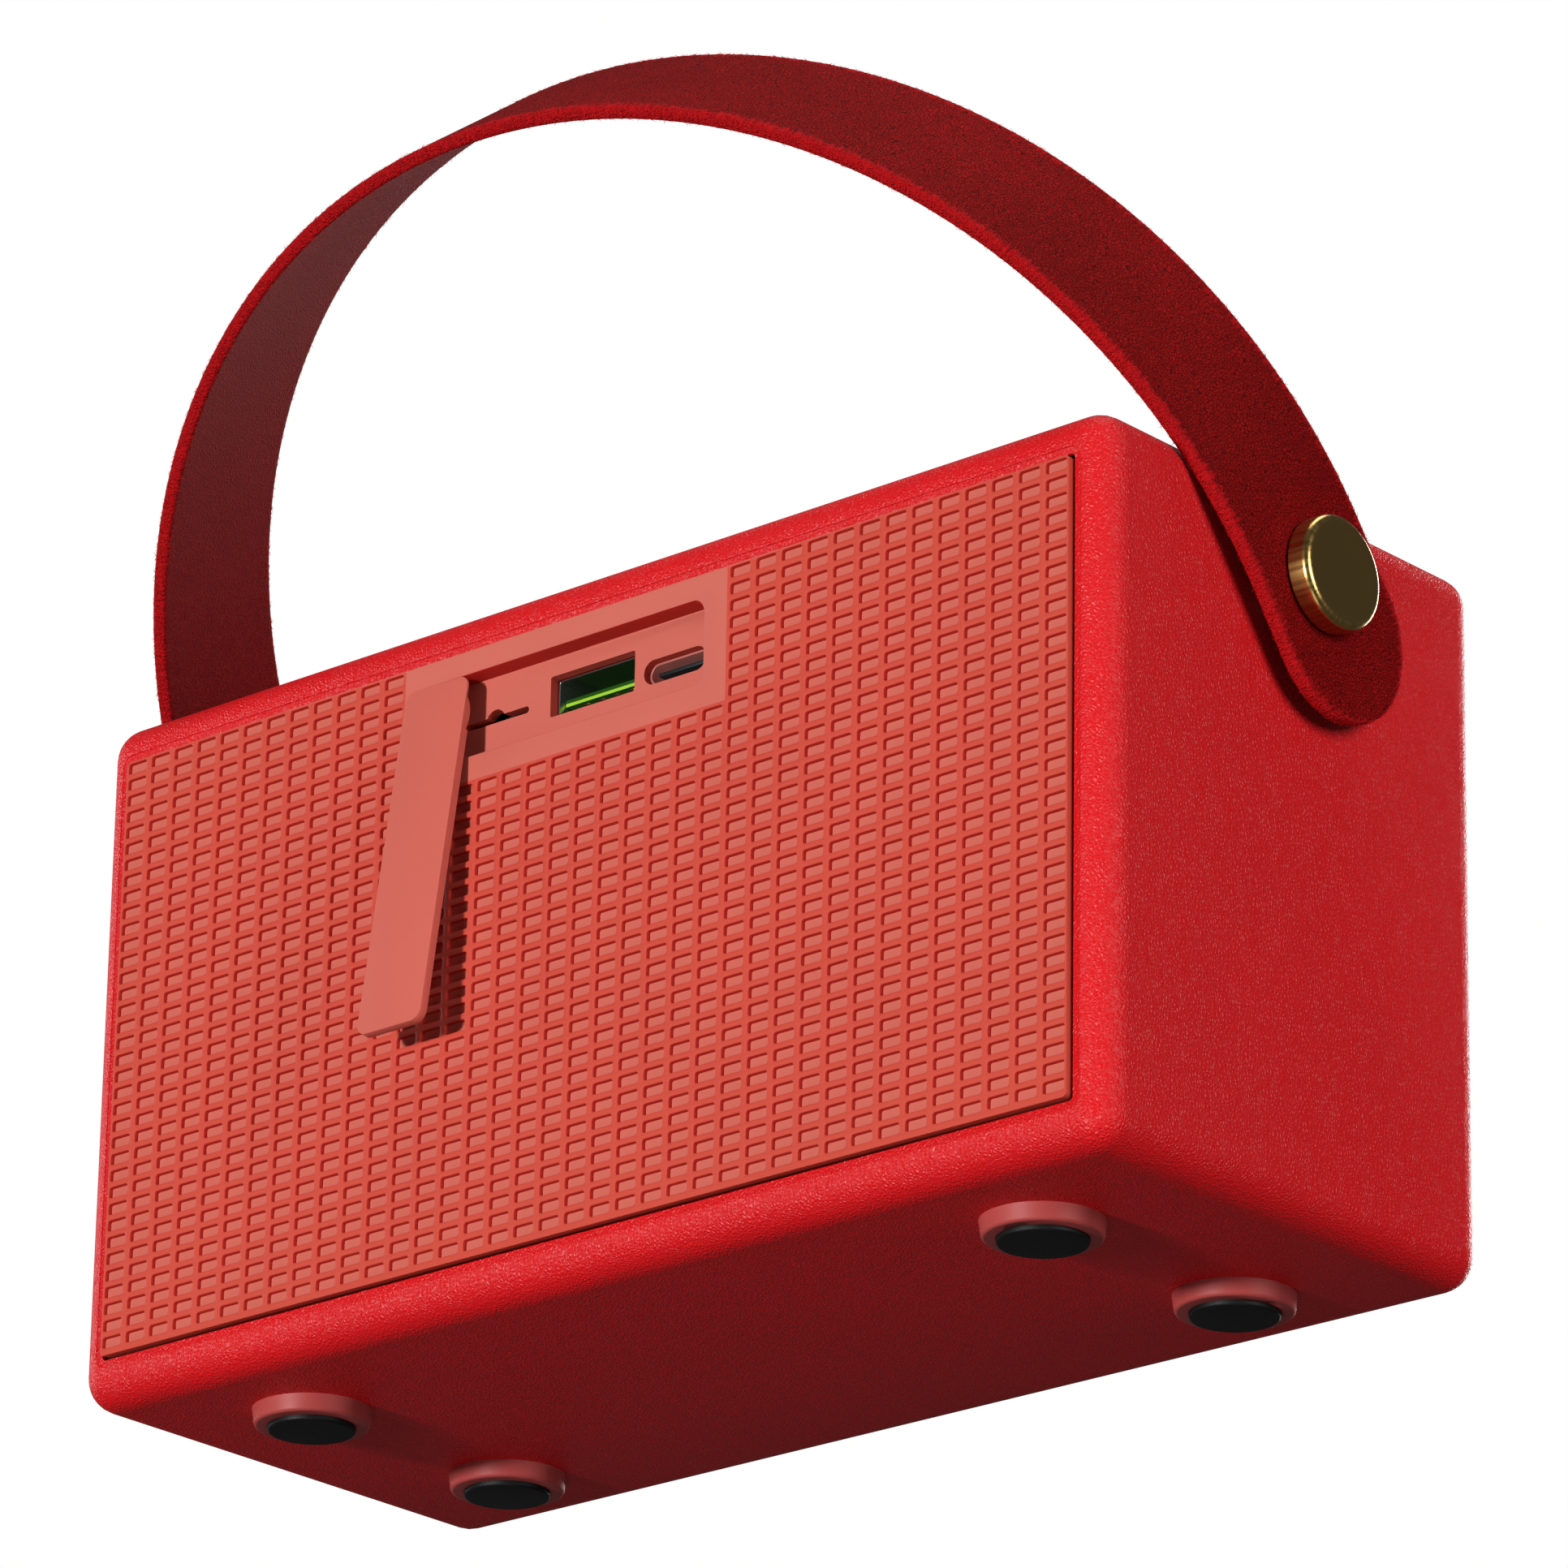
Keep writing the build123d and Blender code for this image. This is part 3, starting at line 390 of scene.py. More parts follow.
@dataclass(frozen=True)
class Suede(Finish):
    """Brushed strap leather: dark napped face, combed rim painted brighter as painted sheen, smoother back."""

    # painted sheen: the rim is coloured brighter than the face, as if its combed nap caught the light
    rim: Colour = (0.6, 0.009, 0.012)
    back: Colour = (0.3, 0.012, 0.013)
    back_roughness: float = 0.85
    bump_strength: float = 0.9
    wrinkle: float = 1.5
    # painted shade: how far, and how dark, the creases of the face are darkened
    crease_share: float = 0.9
    crease_shade: float = 0.1
    streaks_along: float = 2.6 / MM
    streaks_across: float = 0.5 / MM
    streak_pull: float = 2.2
    rim_edge: Point = (0.28, 0.72)
    hair_patch: Point = (0.3, 0.7)
    hair_shade: float = 0.7

    def build(self) -> bpy.types.Material:
        """Builds the material.

        Returns:
            The material.
        """
        material, kit, shader = self.start()
        grain = kit.add("ShaderNodeGroup", node_tree=Groups.grain())
        grain.inputs["Size"].default_value = self.grain_size
        grain.inputs["Stretch"].default_value = self.wrinkle
        rim, back, run, over = (kit.add("ShaderNodeAttribute", attribute_name=name).outputs["Fac"]
                                for name in ("rim", "back", "run", "over"))
        lengthwise = kit.maths("MULTIPLY", run, self.streaks_along)
        crosswise = kit.maths("MULTIPLY", over, self.streaks_across)
        combed = kit.add("ShaderNodeCombineXYZ", {"X": lengthwise, "Y": crosswise})
        streak = kit.add("ShaderNodeTexNoise", {"Vector": combed.outputs[0], "Scale": 1.0, "Detail": 3.0})
        pull = kit.maths("MULTIPLY", kit.maths("SUBTRACT", streak.outputs["Fac"], 0.5), self.streak_pull)
        edge = kit.ramp(kit.maths("ADD", rim, pull), *self.rim_edge)
        darker = tuple(c * self.shade for c in self.colour)
        face = kit.mix(grain.outputs["Patch"], darker, self.colour)
        # painted shade in the creases of the face
        creased = kit.mix(kit.maths("MULTIPLY", grain.outputs["Crease"], self.crease_share), face,
                          tuple(c * self.crease_shade for c in self.colour))
        sided = kit.mix(back, creased, self.back)
        # rim colour streaked along the nap: painted sheen
        rim_sheen = kit.mix(kit.ramp(streak.outputs["Fac"], *self.hair_patch),
                       tuple(c * self.hair_shade for c in self.rim), self.rim)
        link = kit.tree.links.new
        link(kit.mix(edge, sided, rim_sheen), shader.inputs["Base Color"])
        gloss = kit.add("ShaderNodeMapRange", {0: back, 3: self.roughness, 4: self.back_roughness})
        link(gloss.outputs[0], shader.inputs["Roughness"])
        rise = kit.maths("ADD", grain.outputs["Height"], kit.maths("MULTIPLY", streak.outputs["Fac"], edge))
        link(bump(kit, rise, self.bump_strength, self.relief), shader.inputs["Normal"])
        return material


@dataclass(frozen=True)
class TurnedBrass(Finish):
    """Turned brass with fine radial streaks on its edge."""

    height: float = 83.1 * MM
    face_radius: float = 6.1 * MM
    edge_width: float = 0.5 * MM
    streak_scale: float = 12.0
    streak_patch: Point = (0.35, 0.65)
    bump_strength: float = 0.12

    def build(self) -> bpy.types.Material:
        """Builds the material.

        Returns:
            The material.
        """
        material, kit, shader = self.start()
        place = kit.add("ShaderNodeTexCoord").outputs["Object"]
        parts = kit.add("ShaderNodeSeparateXYZ", {0: place}).outputs
        rise = kit.maths("SUBTRACT", parts["Z"], self.height)
        angle = kit.maths("ARCTAN2", rise, parts["Y"])
        ring = kit.add("ShaderNodeCombineXYZ", {"X": kit.maths("COSINE", angle), "Y": kit.maths("SINE", angle)})
        streak = kit.add("ShaderNodeTexNoise", {"Vector": ring.outputs[0], "Scale": self.streak_scale,
                                                 "Detail": 3.0})
        square = kit.maths("ADD", kit.maths("MULTIPLY", rise, rise), kit.maths("MULTIPLY", parts["Y"], parts["Y"]))
        rim = kit.ramp(kit.maths("SQRT", square), self.face_radius, self.face_radius + self.edge_width)
        mark = kit.maths("MULTIPLY", kit.ramp(streak.outputs["Fac"], *self.streak_patch), rim)
        darker = tuple(c * self.shade for c in self.colour)
        gloss = kit.add("ShaderNodeMapRange", {0: mark, 3: self.roughness * 0.9, 4: self.roughness * 1.2})
        link = kit.tree.links.new
        link(kit.mix(mark, darker, self.colour), shader.inputs["Base Color"])
        link(gloss.outputs[0], shader.inputs["Roughness"])
        link(bump(kit, mark, self.bump_strength, self.relief), shader.inputs["Normal"])
        return material


class Palette:
    """Every finish of the speaker, built on first use."""

    finishes: dict[str, Finish] = {
        f.name: f for f in (
            Leatherette("red_leatherette", (0.7, 0.0045, 0.0075), 0.45, relief=0.17 * MM, grain_size=0.5 * MM,
                        shade=0.95, gloss=0.3),
            PittedPlastic("coral_plastic", (0.545, 0.06, 0.036), 0.6, relief=0.015 * MM, shade=0.97, gloss=0.2),
            Finish("coral_rubber", (0.555, 0.112, 0.082), 0.65, relief=0.012 * MM, shade=0.97, gloss=0.2),
            # painted shade: coral plastic darkened for the foot rings under the cabinet
            Finish("shaded_ring_plastic", (0.4, 0.055, 0.05), 0.5, relief=0.012 * MM, shade=0.95, gloss=0.3),
            Finish("black_rubber", (0.004, 0.004, 0.004), 0.5, relief=0.04 * MM, gloss=0.25),
            Finish("black_foam", (0.01, 0.01, 0.01), 0.95, relief=0.2 * MM, grain_size=0.6 * MM),
            Suede("red_suede", (0.46, 0.007, 0.0075), 0.8, relief=0.36 * MM, grain_size=0.45 * MM, shade=0.8,
                  gloss=0.05),
            # real fibres, coloured as bright as the rim: painted sheen
            Finish("red_nap", (0.6, 0.009, 0.012), 0.8, relief=0.005 * MM, gloss=0.05),
            TurnedBrass("brass", (0.6, 0.38, 0.12), 0.24, 1.0, relief=0.03 * MM, shade=0.92, gloss=0.5),
            Finish("steel", (0.5, 0.5, 0.5), 0.22, 1.0, shade=0.9, relief=0.004 * MM, gloss=0.5),
            Finish("black_steel", (0.015, 0.015, 0.015), 0.4, relief=0.02 * MM),
            # painted reflection and painted light: the USB-C shell coloured bright coral, as if reflecting the
            # coral panel
            Finish("shell_coral_reflection", (0.62, 0.2, 0.17), 0.35, 0.4, shade=0.8, relief=0.006 * MM, gloss=0.5),
            # painted shade: green darkened to the shade inside the socket's mouth
            Finish("green_plastic", (0.012, 0.075, 0.004), 0.4, relief=0.006 * MM),
            # painted highlight on the lit front edge of the tongue
            Finish("green_edge_highlight", (0.34, 0.62, 0.03), 0.4, relief=0.006 * MM),
            Finish("black_plastic", (0.012, 0.016, 0.018), 0.45, relief=0.01 * MM),
            Finish("black_abs", (0.01, 0.01, 0.011), 0.6, relief=0.03 * MM),
            Finish("ferrite", (0.03, 0.03, 0.032), 0.5, relief=0.04 * MM),
            Finish("paper", (0.02, 0.02, 0.02), 0.85, relief=0.08 * MM, grain_size=0.5 * MM),
            Finish("copper_coil", (0.6, 0.22, 0.08), 0.3, 1.0, relief=0.02 * MM),
            Finish("spider_cloth", (0.5, 0.33, 0.1), 0.8, relief=0.1 * MM),
            Finish("green_board", (0.01, 0.09, 0.03), 0.4, relief=0.02 * MM, coat=0.3),
            Finish("cell_sleeve", (0.02, 0.08, 0.3), 0.35, relief=0.01 * MM, coat=0.3),
            Finish("button_rubber", (0.42, 0.045, 0.03), 0.6, relief=0.012 * MM),
            Finish("sign_print", (0.75, 0.5, 0.45), 0.5, relief=0.004 * MM),
            Finish("gold_contact", (0.7, 0.45, 0.12), 0.25, 1.0, relief=0.004 * MM, gloss=0.5),
        )
    }
    made: dict[str, bpy.types.Material] = {}

    @classmethod
    def get(cls, name: str) -> bpy.types.Material:
        """Returns the finish's material.

        Args:
            name: the finish's name.

        Returns:
            The material, made once.
        """
        if name not in cls.made:
            cls.made[name] = cls.finishes[name].build()
        return cls.made[name]


# ------------------------------------------------------------------ mesh helpers
def new_piece(name: str, mesh: bpy.types.Mesh) -> bpy.types.Object:
    """Makes an object at the origin.

    Args:
        name: the piece's name.
        mesh: its mesh, already in place.

    Returns:
        The object, in the scene.
    """
    piece = bpy.data.objects.new(name, mesh)
    bpy.context.scene.collection.objects.link(piece)
    return piece


def mesh_of(name: str, points: list, faces: list) -> bpy.types.Mesh:
    """Makes a mesh from points and faces.

    Args:
        name: the mesh's name.
        points: corner places.
        faces: lists of point numbers.

    Returns:
        The mesh.
    """
    mesh = bpy.data.meshes.new(name)
    mesh.from_pydata(points, [], faces)
    mesh.update()
    return mesh


def prism_faces(count: int) -> list[list[int]]:
    """Lists the faces of a prism whose two ends are loops of points, one after the other.

    Args:
        count: points of each loop.

    Returns:
        The sides and the two ends, as lists of point numbers.
    """
    sides = [[k, (k + 1) % count, count + (k + 1) % count, count + k] for k in range(count)]
    return sides + [list(range(count))[::-1], list(range(count, 2 * count))]


def give_nodes(piece: bpy.types.Object, tree: bpy.types.NodeTree, values: dict[str, object]) -> None:
    """Puts a Geometry Nodes modifier on a piece and sets its named inputs.

    Args:
        piece: the object.
        tree: the Geometry Nodes tree.
        values: input names and their values.
    """
    nodes = piece.modifiers.new(tree.name, "NODES")
    nodes.node_group = tree
    for item in tree.interface.items_tree:
        if item.in_out == "INPUT" and item.name in values:
            nodes[item.identifier] = values[item.name]


def finished(piece: bpy.types.Object) -> bpy.types.Object:
    """Applies every modifier of a piece.

    Args:
        piece: the object with live modifiers.

    Returns:
        The same object with a plain mesh.
    """
    bpy.context.view_layer.update()
    graph = bpy.context.evaluated_depsgraph_get()
    mesh = bpy.data.meshes.new_from_object(piece.evaluated_get(graph))
    piece.modifiers.clear()
    piece.data = mesh
    return piece


def dress(piece: bpy.types.Object, finish: str) -> None:
    """Gives a whole piece one finish.

    Args:
        piece: the object.
        finish: the finish's name.
    """
    piece.data.materials.clear()
    piece.data.materials.append(Palette.get(finish))


def smooth(mesh: bpy.types.Mesh, angle: float = 35.0) -> None:
    """Shades a mesh smooth, except over edges sharper than an angle.

    Args:
        mesh: the mesh.
        angle: the angle in degrees.
    """
    mesh.polygons.foreach_set("use_smooth", [True] * len(mesh.polygons))
    mesh.set_sharp_from_angle(angle=math.radians(angle))


def cad_copy(node: str, name: str) -> bpy.types.Object:
    """Copies a CAD node's mesh, merged and with its flat faces whole.

    Args:
        node: the CAD node.
        name: the copy's name.

    Returns:
        The copy.
    """
    work = bmesh.new()
    work.from_mesh(frame["nodes"][node].data)
    bmesh.ops.remove_doubles(work, verts=work.verts, dist=0.001 * MM)
    bmesh.ops.dissolve_limit(work, angle_limit=math.radians(0.5), verts=work.verts, edges=work.edges)
    mesh = bpy.data.meshes.new(name)
    work.to_mesh(mesh)
    work.free()
    return new_piece(name, mesh)


def soft_copy(node: str, finish: str, width: float, body: str = "cabinet", steps: int = 2) -> bpy.types.Object:
    """Stands a copy with broken edges in for a CAD node.

    Args:
        node: the CAD node.
        finish: the finish's name.
        width: width of the broken edge, or 0 to leave the edges as they are.
        body: the body that the copy rides on.
        steps: bevel segments.

    Returns:
        The copy.
    """
    piece = cad_copy(node, f"{node}_skin")
    if width > 0:
        edge = piece.modifiers.new("edge", "BEVEL")
        edge.width = width
        edge.segments = steps
        edge.limit_method = "ANGLE"
        edge.angle_limit = math.radians(30)
        edge.use_clamp_overlap = True
        finished(piece)
    smooth(piece.data)
    dress(piece, finish)
    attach(piece, body)
    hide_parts(node)
    return piece


def boolean(piece: bpy.types.Object, tool: bpy.types.Object, operation: str) -> None:
    """Cuts or joins a piece with a tool, and deletes the tool.

    Args:
        piece: the object that is changed.
        tool: the closed object that cuts it.
        operation: DIFFERENCE, UNION or INTERSECT.
    """
    cut = piece.modifiers.new("cut", "BOOLEAN")
    cut.object = tool
    cut.operation = operation
    cut.solver = "EXACT"
    finished(piece)
    bpy.data.objects.remove(tool)


def block(name: str, low: tuple, high: tuple) -> bpy.types.Object:
    """Makes a box between two corners.

    Args:
        name: the box's name.
        low: lowest corner.
        high: highest corner.

    Returns:
        The box.
    """
    work = bmesh.new()
    bmesh.ops.create_cube(work, size=1.0)
    size = Vector(high) - Vector(low)
    for vert in work.verts:
        vert.co = Vector(low) + Vector((c + 0.5) * s for c, s in zip(vert.co, size))
    mesh = bpy.data.meshes.new(name)
    work.to_mesh(mesh)
    work.free()
    return new_piece(name, mesh)


def rounded_block(name: str, low: Vector, high: Vector, radius: float, steps: int) -> bpy.types.Object:
    """Makes a box with every edge rounded.

    Args:
        name: the box's name.
        low: lowest corner.
        high: highest corner.
        radius: radius of the edges.
        steps: segments of each edge.

    Returns:
        The box.
    """
    piece = block(name, tuple(low), tuple(high))
    edge = piece.modifiers.new("edge", "BEVEL")
    edge.width = radius
    edge.segments = steps
    edge.limit_method = "NONE"
    return finished(piece)


def rounded_outline(width: float, height: float, radius: float, steps: int) -> list[Point]:
    """Corner points of a round-cornered rectangle, anticlockwise about the middle.

    Args:
        width: full width.
        height: full height.
        radius: corner radius.
        steps: segments of each corner.

    Returns:
        The points.
    """
    points = []
    for turn, (sx, sy) in enumerate(((1, 1), (-1, 1), (-1, -1), (1, -1))):
        for step in range(steps + 1):
            angle = math.radians(90 * (turn + step / steps))
            x = sx * (width / 2 - radius) + radius * math.cos(angle)
            y = sy * (height / 2 - radius) + radius * math.sin(angle)
            points.append((x, y))
    return points


def set_zone(mesh: bpy.types.Mesh, name: str, values: list[float]) -> None:
    """Stores one number for each face of a mesh.

    Args:
        mesh: the mesh.
        name: the attribute's name.
        values: a number for each face.
    """
    zone = mesh.attributes.get(name) or mesh.attributes.new(name, "FLOAT", "FACE")
    zone.data.foreach_set("value", values)


# ------------------------------------------------------------------ studio
@dataclass
class Studio:
    """Camera, lights, floor and world."""

    aim: tuple[float, float, float] = (0.0, 0.03695, 0.0492)
    azimuth: float = 221.69
    elevation: float = -21.424
    roll: float = 0.98245
    shift_right: float = 0.026237
    shift_up: float = 0.016550
    distance: float = 1.064675
    lens: float = 200.56
    dim: float = 0.07

    def build(self) -> None:
        """Makes the camera, the lights, the floor and the world."""
        self.camera()
        self.light("key", (0.10, 2.6, -0.18), 0.22, 66.0)
        self.light("end_fill", (-2.4, 0.2, 0.35), 1.3, 40.0)
        self.light("top", (0.2, -0.4, 2.4), 1.6, 20.0)
        self.light("under", (-0.5, 1.2, -1.8), 1.2, 4.0)
        self.light("grille_side", (0.6, -2.6, 0.9), 1.4, 60.0)
        self.light("other_end", (2.4, 0.3, 0.6), 1.3, 16.0)
        self.floor()
        self.world()
        bpy.context.scene.view_settings.view_transform = "Standard"

    def camera(self) -> None:
        """Makes the camera."""
        data = bpy.data.cameras.new("camera")
        data.lens = self.lens
        data.sensor_width = 36.0
        data.clip_start, data.clip_end = 0.05, 60.0
        camera = bpy.data.objects.new("camera", data)
        bpy.context.scene.collection.objects.link(camera)
        turn, rise, lean = (math.radians(v) for v in (self.azimuth, self.elevation, self.roll))
        back = Vector((math.sin(turn) * math.cos(rise), -math.cos(turn) * math.cos(rise), math.sin(rise)))
        level = Vector((math.cos(turn), math.sin(turn), 0.0))
        steep = back.cross(level)
        right = math.cos(lean) * level + math.sin(lean) * steep
        upward = math.cos(lean) * steep - math.sin(lean) * level
        place = Vector(self.aim) + self.shift_right * right + self.shift_up * upward + self.distance * back
        axes = Matrix((right, upward, back)).transposed()
        camera.matrix_world = Matrix.Translation(place) @ axes.to_4x4()
        bpy.context.scene.camera = camera

    def light(self, name: str, place: tuple, size: float, power: float) -> None:
        """Adds a round soft light that faces the speaker.

        Args:
            name: the light's name.
            place: where it stands.
            size: its width.
            power: its power in watts.
        """
        data = bpy.data.lights.new(name, "AREA")
        data.shape = "DISK"
        data.size = size
        data.energy = power
        lamp = bpy.data.objects.new(name, data)
        bpy.context.scene.collection.objects.link(lamp)
        lamp.location = place
        away = Vector(place) - Vector((0.0, 0.0, 0.06))
        lamp.rotation_mode = "QUATERNION"
        lamp.rotation_quaternion = away.to_track_quat("Z", "Y")

    def floor(self) -> None:
        """Makes a pale floor that shows only from above, and shades nothing."""
        reach = 1.6
        spots = [(-reach, -reach, 0.0), (reach, -reach, 0.0), (reach, reach, 0.0), (-reach, reach, 0.0)]
        floor = new_piece("floor", mesh_of("floor", spots, [[0, 1, 2, 3]]))
        material = bpy.data.materials.new("floor")
        material.use_nodes = True
        kit = NodeTree(material.node_tree)
        shader = material.node_tree.nodes["Principled BSDF"]
        shader.inputs["Base Color"].default_value = (0.8, 0.8, 0.8, 1.0)
        shader.inputs["Roughness"].default_value = 0.8
        seen = kit.add("ShaderNodeLightPath").outputs["Is Camera Ray"]
        behind = kit.add("ShaderNodeNewGeometry").outputs["Backfacing"]
        shows = kit.maths("MULTIPLY", seen, kit.maths("SUBTRACT", 1.0, behind))
        clear = kit.add("ShaderNodeBsdfTransparent")
        both = kit.add("ShaderNodeMixShader", {0: shows, 1: clear.outputs[0], 2: shader.outputs[0]})
        kit.tree.links.new(both.outputs[0], material.node_tree.nodes["Material Output"].inputs["Surface"])
        floor.data.materials.append(material)

    def world(self) -> None:
        """Makes a white surround that lights the speaker only dimly."""
        world = bpy.data.worlds.new("surround")
        bpy.context.scene.world = world
        world.use_nodes = True
        kit = NodeTree(world.node_tree)
        seen = kit.add("ShaderNodeLightPath").outputs["Is Camera Ray"]
        level = kit.add("ShaderNodeMapRange", {0: seen, 3: self.dim, 4: 1.0})
        backdrop = world.node_tree.nodes["Background"]
        backdrop.inputs["Color"].default_value = (1.0, 1.0, 1.0, 1.0)
        kit.tree.links.new(level.outputs[0], backdrop.inputs["Strength"])


# ------------------------------------------------------------------ cabinet skin
@dataclass
class CabinetSkin:
    """Leatherette round the cabinet, turned in at its mouths."""

    radius: float = 4.5 * MM
    cloth: float = 0.8 * MM
    mouth_width: float = 158.36 * MM
    mouth_height: float = 80.95 * MM
    mouth_radius: float = 0.6 * MM
    lip: float = 1.0 * MM
    lip_drop: float = 0.16 * MM
    top_mouth: tuple[float, float, float] = (92.4 * MM, 17.4 * MM, 3.2 * MM)
    top_mouth_y: float = -12.0 * MM
    rounding: float = 0.1 * MM
    cut_down: float = 4.0 * MM
    clear: float = 10.0 * MM

    def prism(self, width: float, height: float, radius: float, low: float, high: float) -> bpy.types.Object:
        """Makes a round-cornered prism along Y, about the middle of the cabinet.

        Args:
            width: size along X.
            height: size along Z.
            radius: corner radius.
            low: lowest Y.
            high: highest Y.

        Returns:
            The prism.
        """
        outline = rounded_outline(width, height, radius, 3)
        middle = sum(corner.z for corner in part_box("leather_wrap")) / 2
        points = [(x, y, middle + z) for y in (low, high) for x, z in outline]
        return self.outward(new_piece("prism", mesh_of("prism", points, prism_faces(len(outline)))))

    @staticmethod
    def outward(piece: bpy.types.Object) -> bpy.types.Object:
        """Turns a closed piece's faces outward.

        Args:
            piece: the closed object.

        Returns:
            The same object.
        """
        work = bmesh.new()
        work.from_mesh(piece.data)
        bmesh.ops.recalc_face_normals(work, faces=work.faces)
        work.to_mesh(piece.data)
        work.free()
        return piece

    def build(self) -> bpy.types.Object:
        """Makes the skin, and stands it in for its CAD node.

        Returns:
            The skin.
        """
        low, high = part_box("leather_wrap")
        skin = rounded_block("leather_skin", low, high, self.radius, 8)
        inset = Vector((self.cloth,) * 3)
        boolean(skin, rounded_block("inside", low + inset, high - inset, self.radius - self.cloth, 4), "DIFFERENCE")
        far = self.clear
        wide = (self.mouth_width + 2 * self.lip, self.mouth_height + 2 * self.lip, self.mouth_radius + self.lip)
        boolean(skin, self.prism(*wide, high.y - self.lip_drop, high.y + far), "DIFFERENCE")
        boolean(skin, self.prism(*wide, low.y - far, low.y + self.lip_drop), "DIFFERENCE")
        mouth = (self.mouth_width, self.mouth_height, self.mouth_radius)
        boolean(skin, self.prism(*mouth, low.y - far, high.y + far), "DIFFERENCE")
        boolean(skin, self.top_cutter(high.z), "DIFFERENCE")
        edge = skin.modifiers.new("edge", "BEVEL")
        edge.width = self.rounding
        edge.segments = 2
        edge.angle_limit = math.radians(40)
        finished(skin)
        smooth(skin.data, 30.0)
        dress(skin, "red_leatherette")
        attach(skin, "cabinet")
        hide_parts("leather_wrap")
        return skin

    def top_cutter(self, top: float) -> bpy.types.Object:
        """Makes the cutter for the control plate's mouth.

        Args:
            top: height of the cabinet's top.

        Returns:
            The cutter.
        """
        width, depth, radius = self.top_mouth
        outline = rounded_outline(width, depth, radius, 6)
        levels = (top - self.cut_down, top + self.clear)
        points = [(x, self.top_mouth_y + y, z) for z in levels for x, y in outline]
        return self.outward(new_piece("cutter", mesh_of("cutter", points, prism_faces(len(outline)))))


# ------------------------------------------------------------------ lattice
class Hole(Enum):
    """Whether a lattice tile has a floor or is open."""

    PIT = "pit"
    OPEN = "open"


@dataclass
class Lattice:
    """Net of ribs over a moulded panel, repeated by Geometry Nodes."""

    columns: int = 38
    rows: int = 36
    pit_width: float = 3.36 * MM
    pit_height: float = 1.545 * MM
    pit_radius: float = 0.36 * MM
    pit_depth: float = 0.6 * MM
    draft: float = 0.07 * MM
    chamfer: float = 0.05 * MM
    side_margin: float = 0.24 * MM
    top_margin: float = 0.19 * MM
    pitch_high: float = 2.218 * MM
    hole: Hole = Hole.PIT
    facing: int = 1
    corner_steps: int = 2
    weld: float = 0.002 * MM

    def pitch_wide(self, width: float) -> float:
        """Works out the spacing of the columns.

        Args:
            width: width of the panel.

        Returns:
            The spacing.
        """
        return (width - 2 * self.side_margin - self.pit_width) / (self.columns - 1)

    def tile(self, wide: float, high: float) -> bpy.types.Mesh:
        """Makes one tile about the origin, facing along Y.

        Args:
            wide: tile width.
            high: tile height.

        Returns:
            The tile's mesh, with a zone number on each face.
        """
        square = [(sx * wide / 2, sz * high / 2) for sx, sz in ((1, 1), (-1, 1), (-1, -1), (1, -1))]
        step = self.corner_steps
        rim = rounded_outline(self.pit_width, self.pit_height, self.pit_radius, step)
        inner = rounded_outline(self.pit_width - 2 * self.chamfer, self.pit_height - 2 * self.chamfer,
                                self.pit_radius - self.chamfer, step)
        shrink = self.chamfer + self.draft
        base = rounded_outline(self.pit_width - 2 * shrink, self.pit_height - 2 * shrink,
                               self.pit_radius - shrink, step)
        around = len(rim)
        facing = self.facing
        points = [(x, 0.0, z) for x, z in square + rim]
        points += [(x, -facing * self.chamfer, z) for x, z in inner]
        points += [(x, -facing * self.pit_depth, z) for x, z in base]
        faces, zones = [], []
        arc = step + 1
        for corner in range(4):
            first = 4 + corner * arc
            faces.extend([corner, first + k, first + k + 1] for k in range(step))
            after = 4 + ((corner + 1) % 4) * arc
            faces.append([corner, first + step, after, (corner + 1) % 4])
        zones += [Zone.RIB.value] * len(faces)
        for ring in (0, 1):
            one, two = 4 + ring * around, 4 + (ring + 1) * around
            for k in range(around):
                after = (k + 1) % around
                faces.append([one + k, two + k, two + after, one + after])
                # walls of each pit or hole get the painted wall shade; the chamfer keeps the rib colour
                zones.append(Zone.WALL.value if ring else Zone.RIB.value)
        if self.hole is Hole.PIT:
            faces.append([4 + 2 * around + k for k in range(around)])
            zones.append(Zone.FLOOR.value)
        if facing > 0:
            faces = [face[::-1] for face in faces]
        mesh = mesh_of("tile", points, faces)
        set_zone(mesh, "zone", zones)
        return mesh

    def tree(self, material: bpy.types.Material) -> bpy.types.NodeTree:
        """Builds the tree that repeats a tile, but leaves a bare field at the top.

        Args:
            material: the finish that is set at the end.

        Returns:
            The Geometry Nodes tree.
        """
        tree = bpy.data.node_groups.new("lattice", "GeometryNodeTree")
        tree.interface.new_socket(name="Tile", in_out="INPUT", socket_type="NodeSocketGeometry")
        for label, kind in (("Columns", "Int"), ("Rows", "Int"), ("Width", "Float"), ("Height", "Float"),
                            ("Middle", "Vector"), ("Field Low X", "Float"), ("Field High X", "Float"),
                            ("Field Low Z", "Float")):
            tree.interface.new_socket(name=label, in_out="INPUT", socket_type=f"NodeSocket{kind}")
        tree.interface.new_socket(name="Lattice", in_out="OUTPUT", socket_type="NodeSocketGeometry")
        kit = NodeTree(tree)
        given = kit.add("NodeGroupInput").outputs
        grid = kit.add("GeometryNodeMeshGrid", {"Size X": given["Width"], "Size Y": given["Height"],
                                                "Vertices X": given["Columns"], "Vertices Y": given["Rows"]})
        upright = kit.add("GeometryNodeTransform", {"Geometry": grid.outputs["Mesh"],
                                                    "Translation": given["Middle"],
                                                    "Rotation": (math.radians(90), 0.0, 0.0)})
        spot = kit.add("ShaderNodeSeparateXYZ", {0: kit.add("GeometryNodeInputPosition").outputs[0]}).outputs

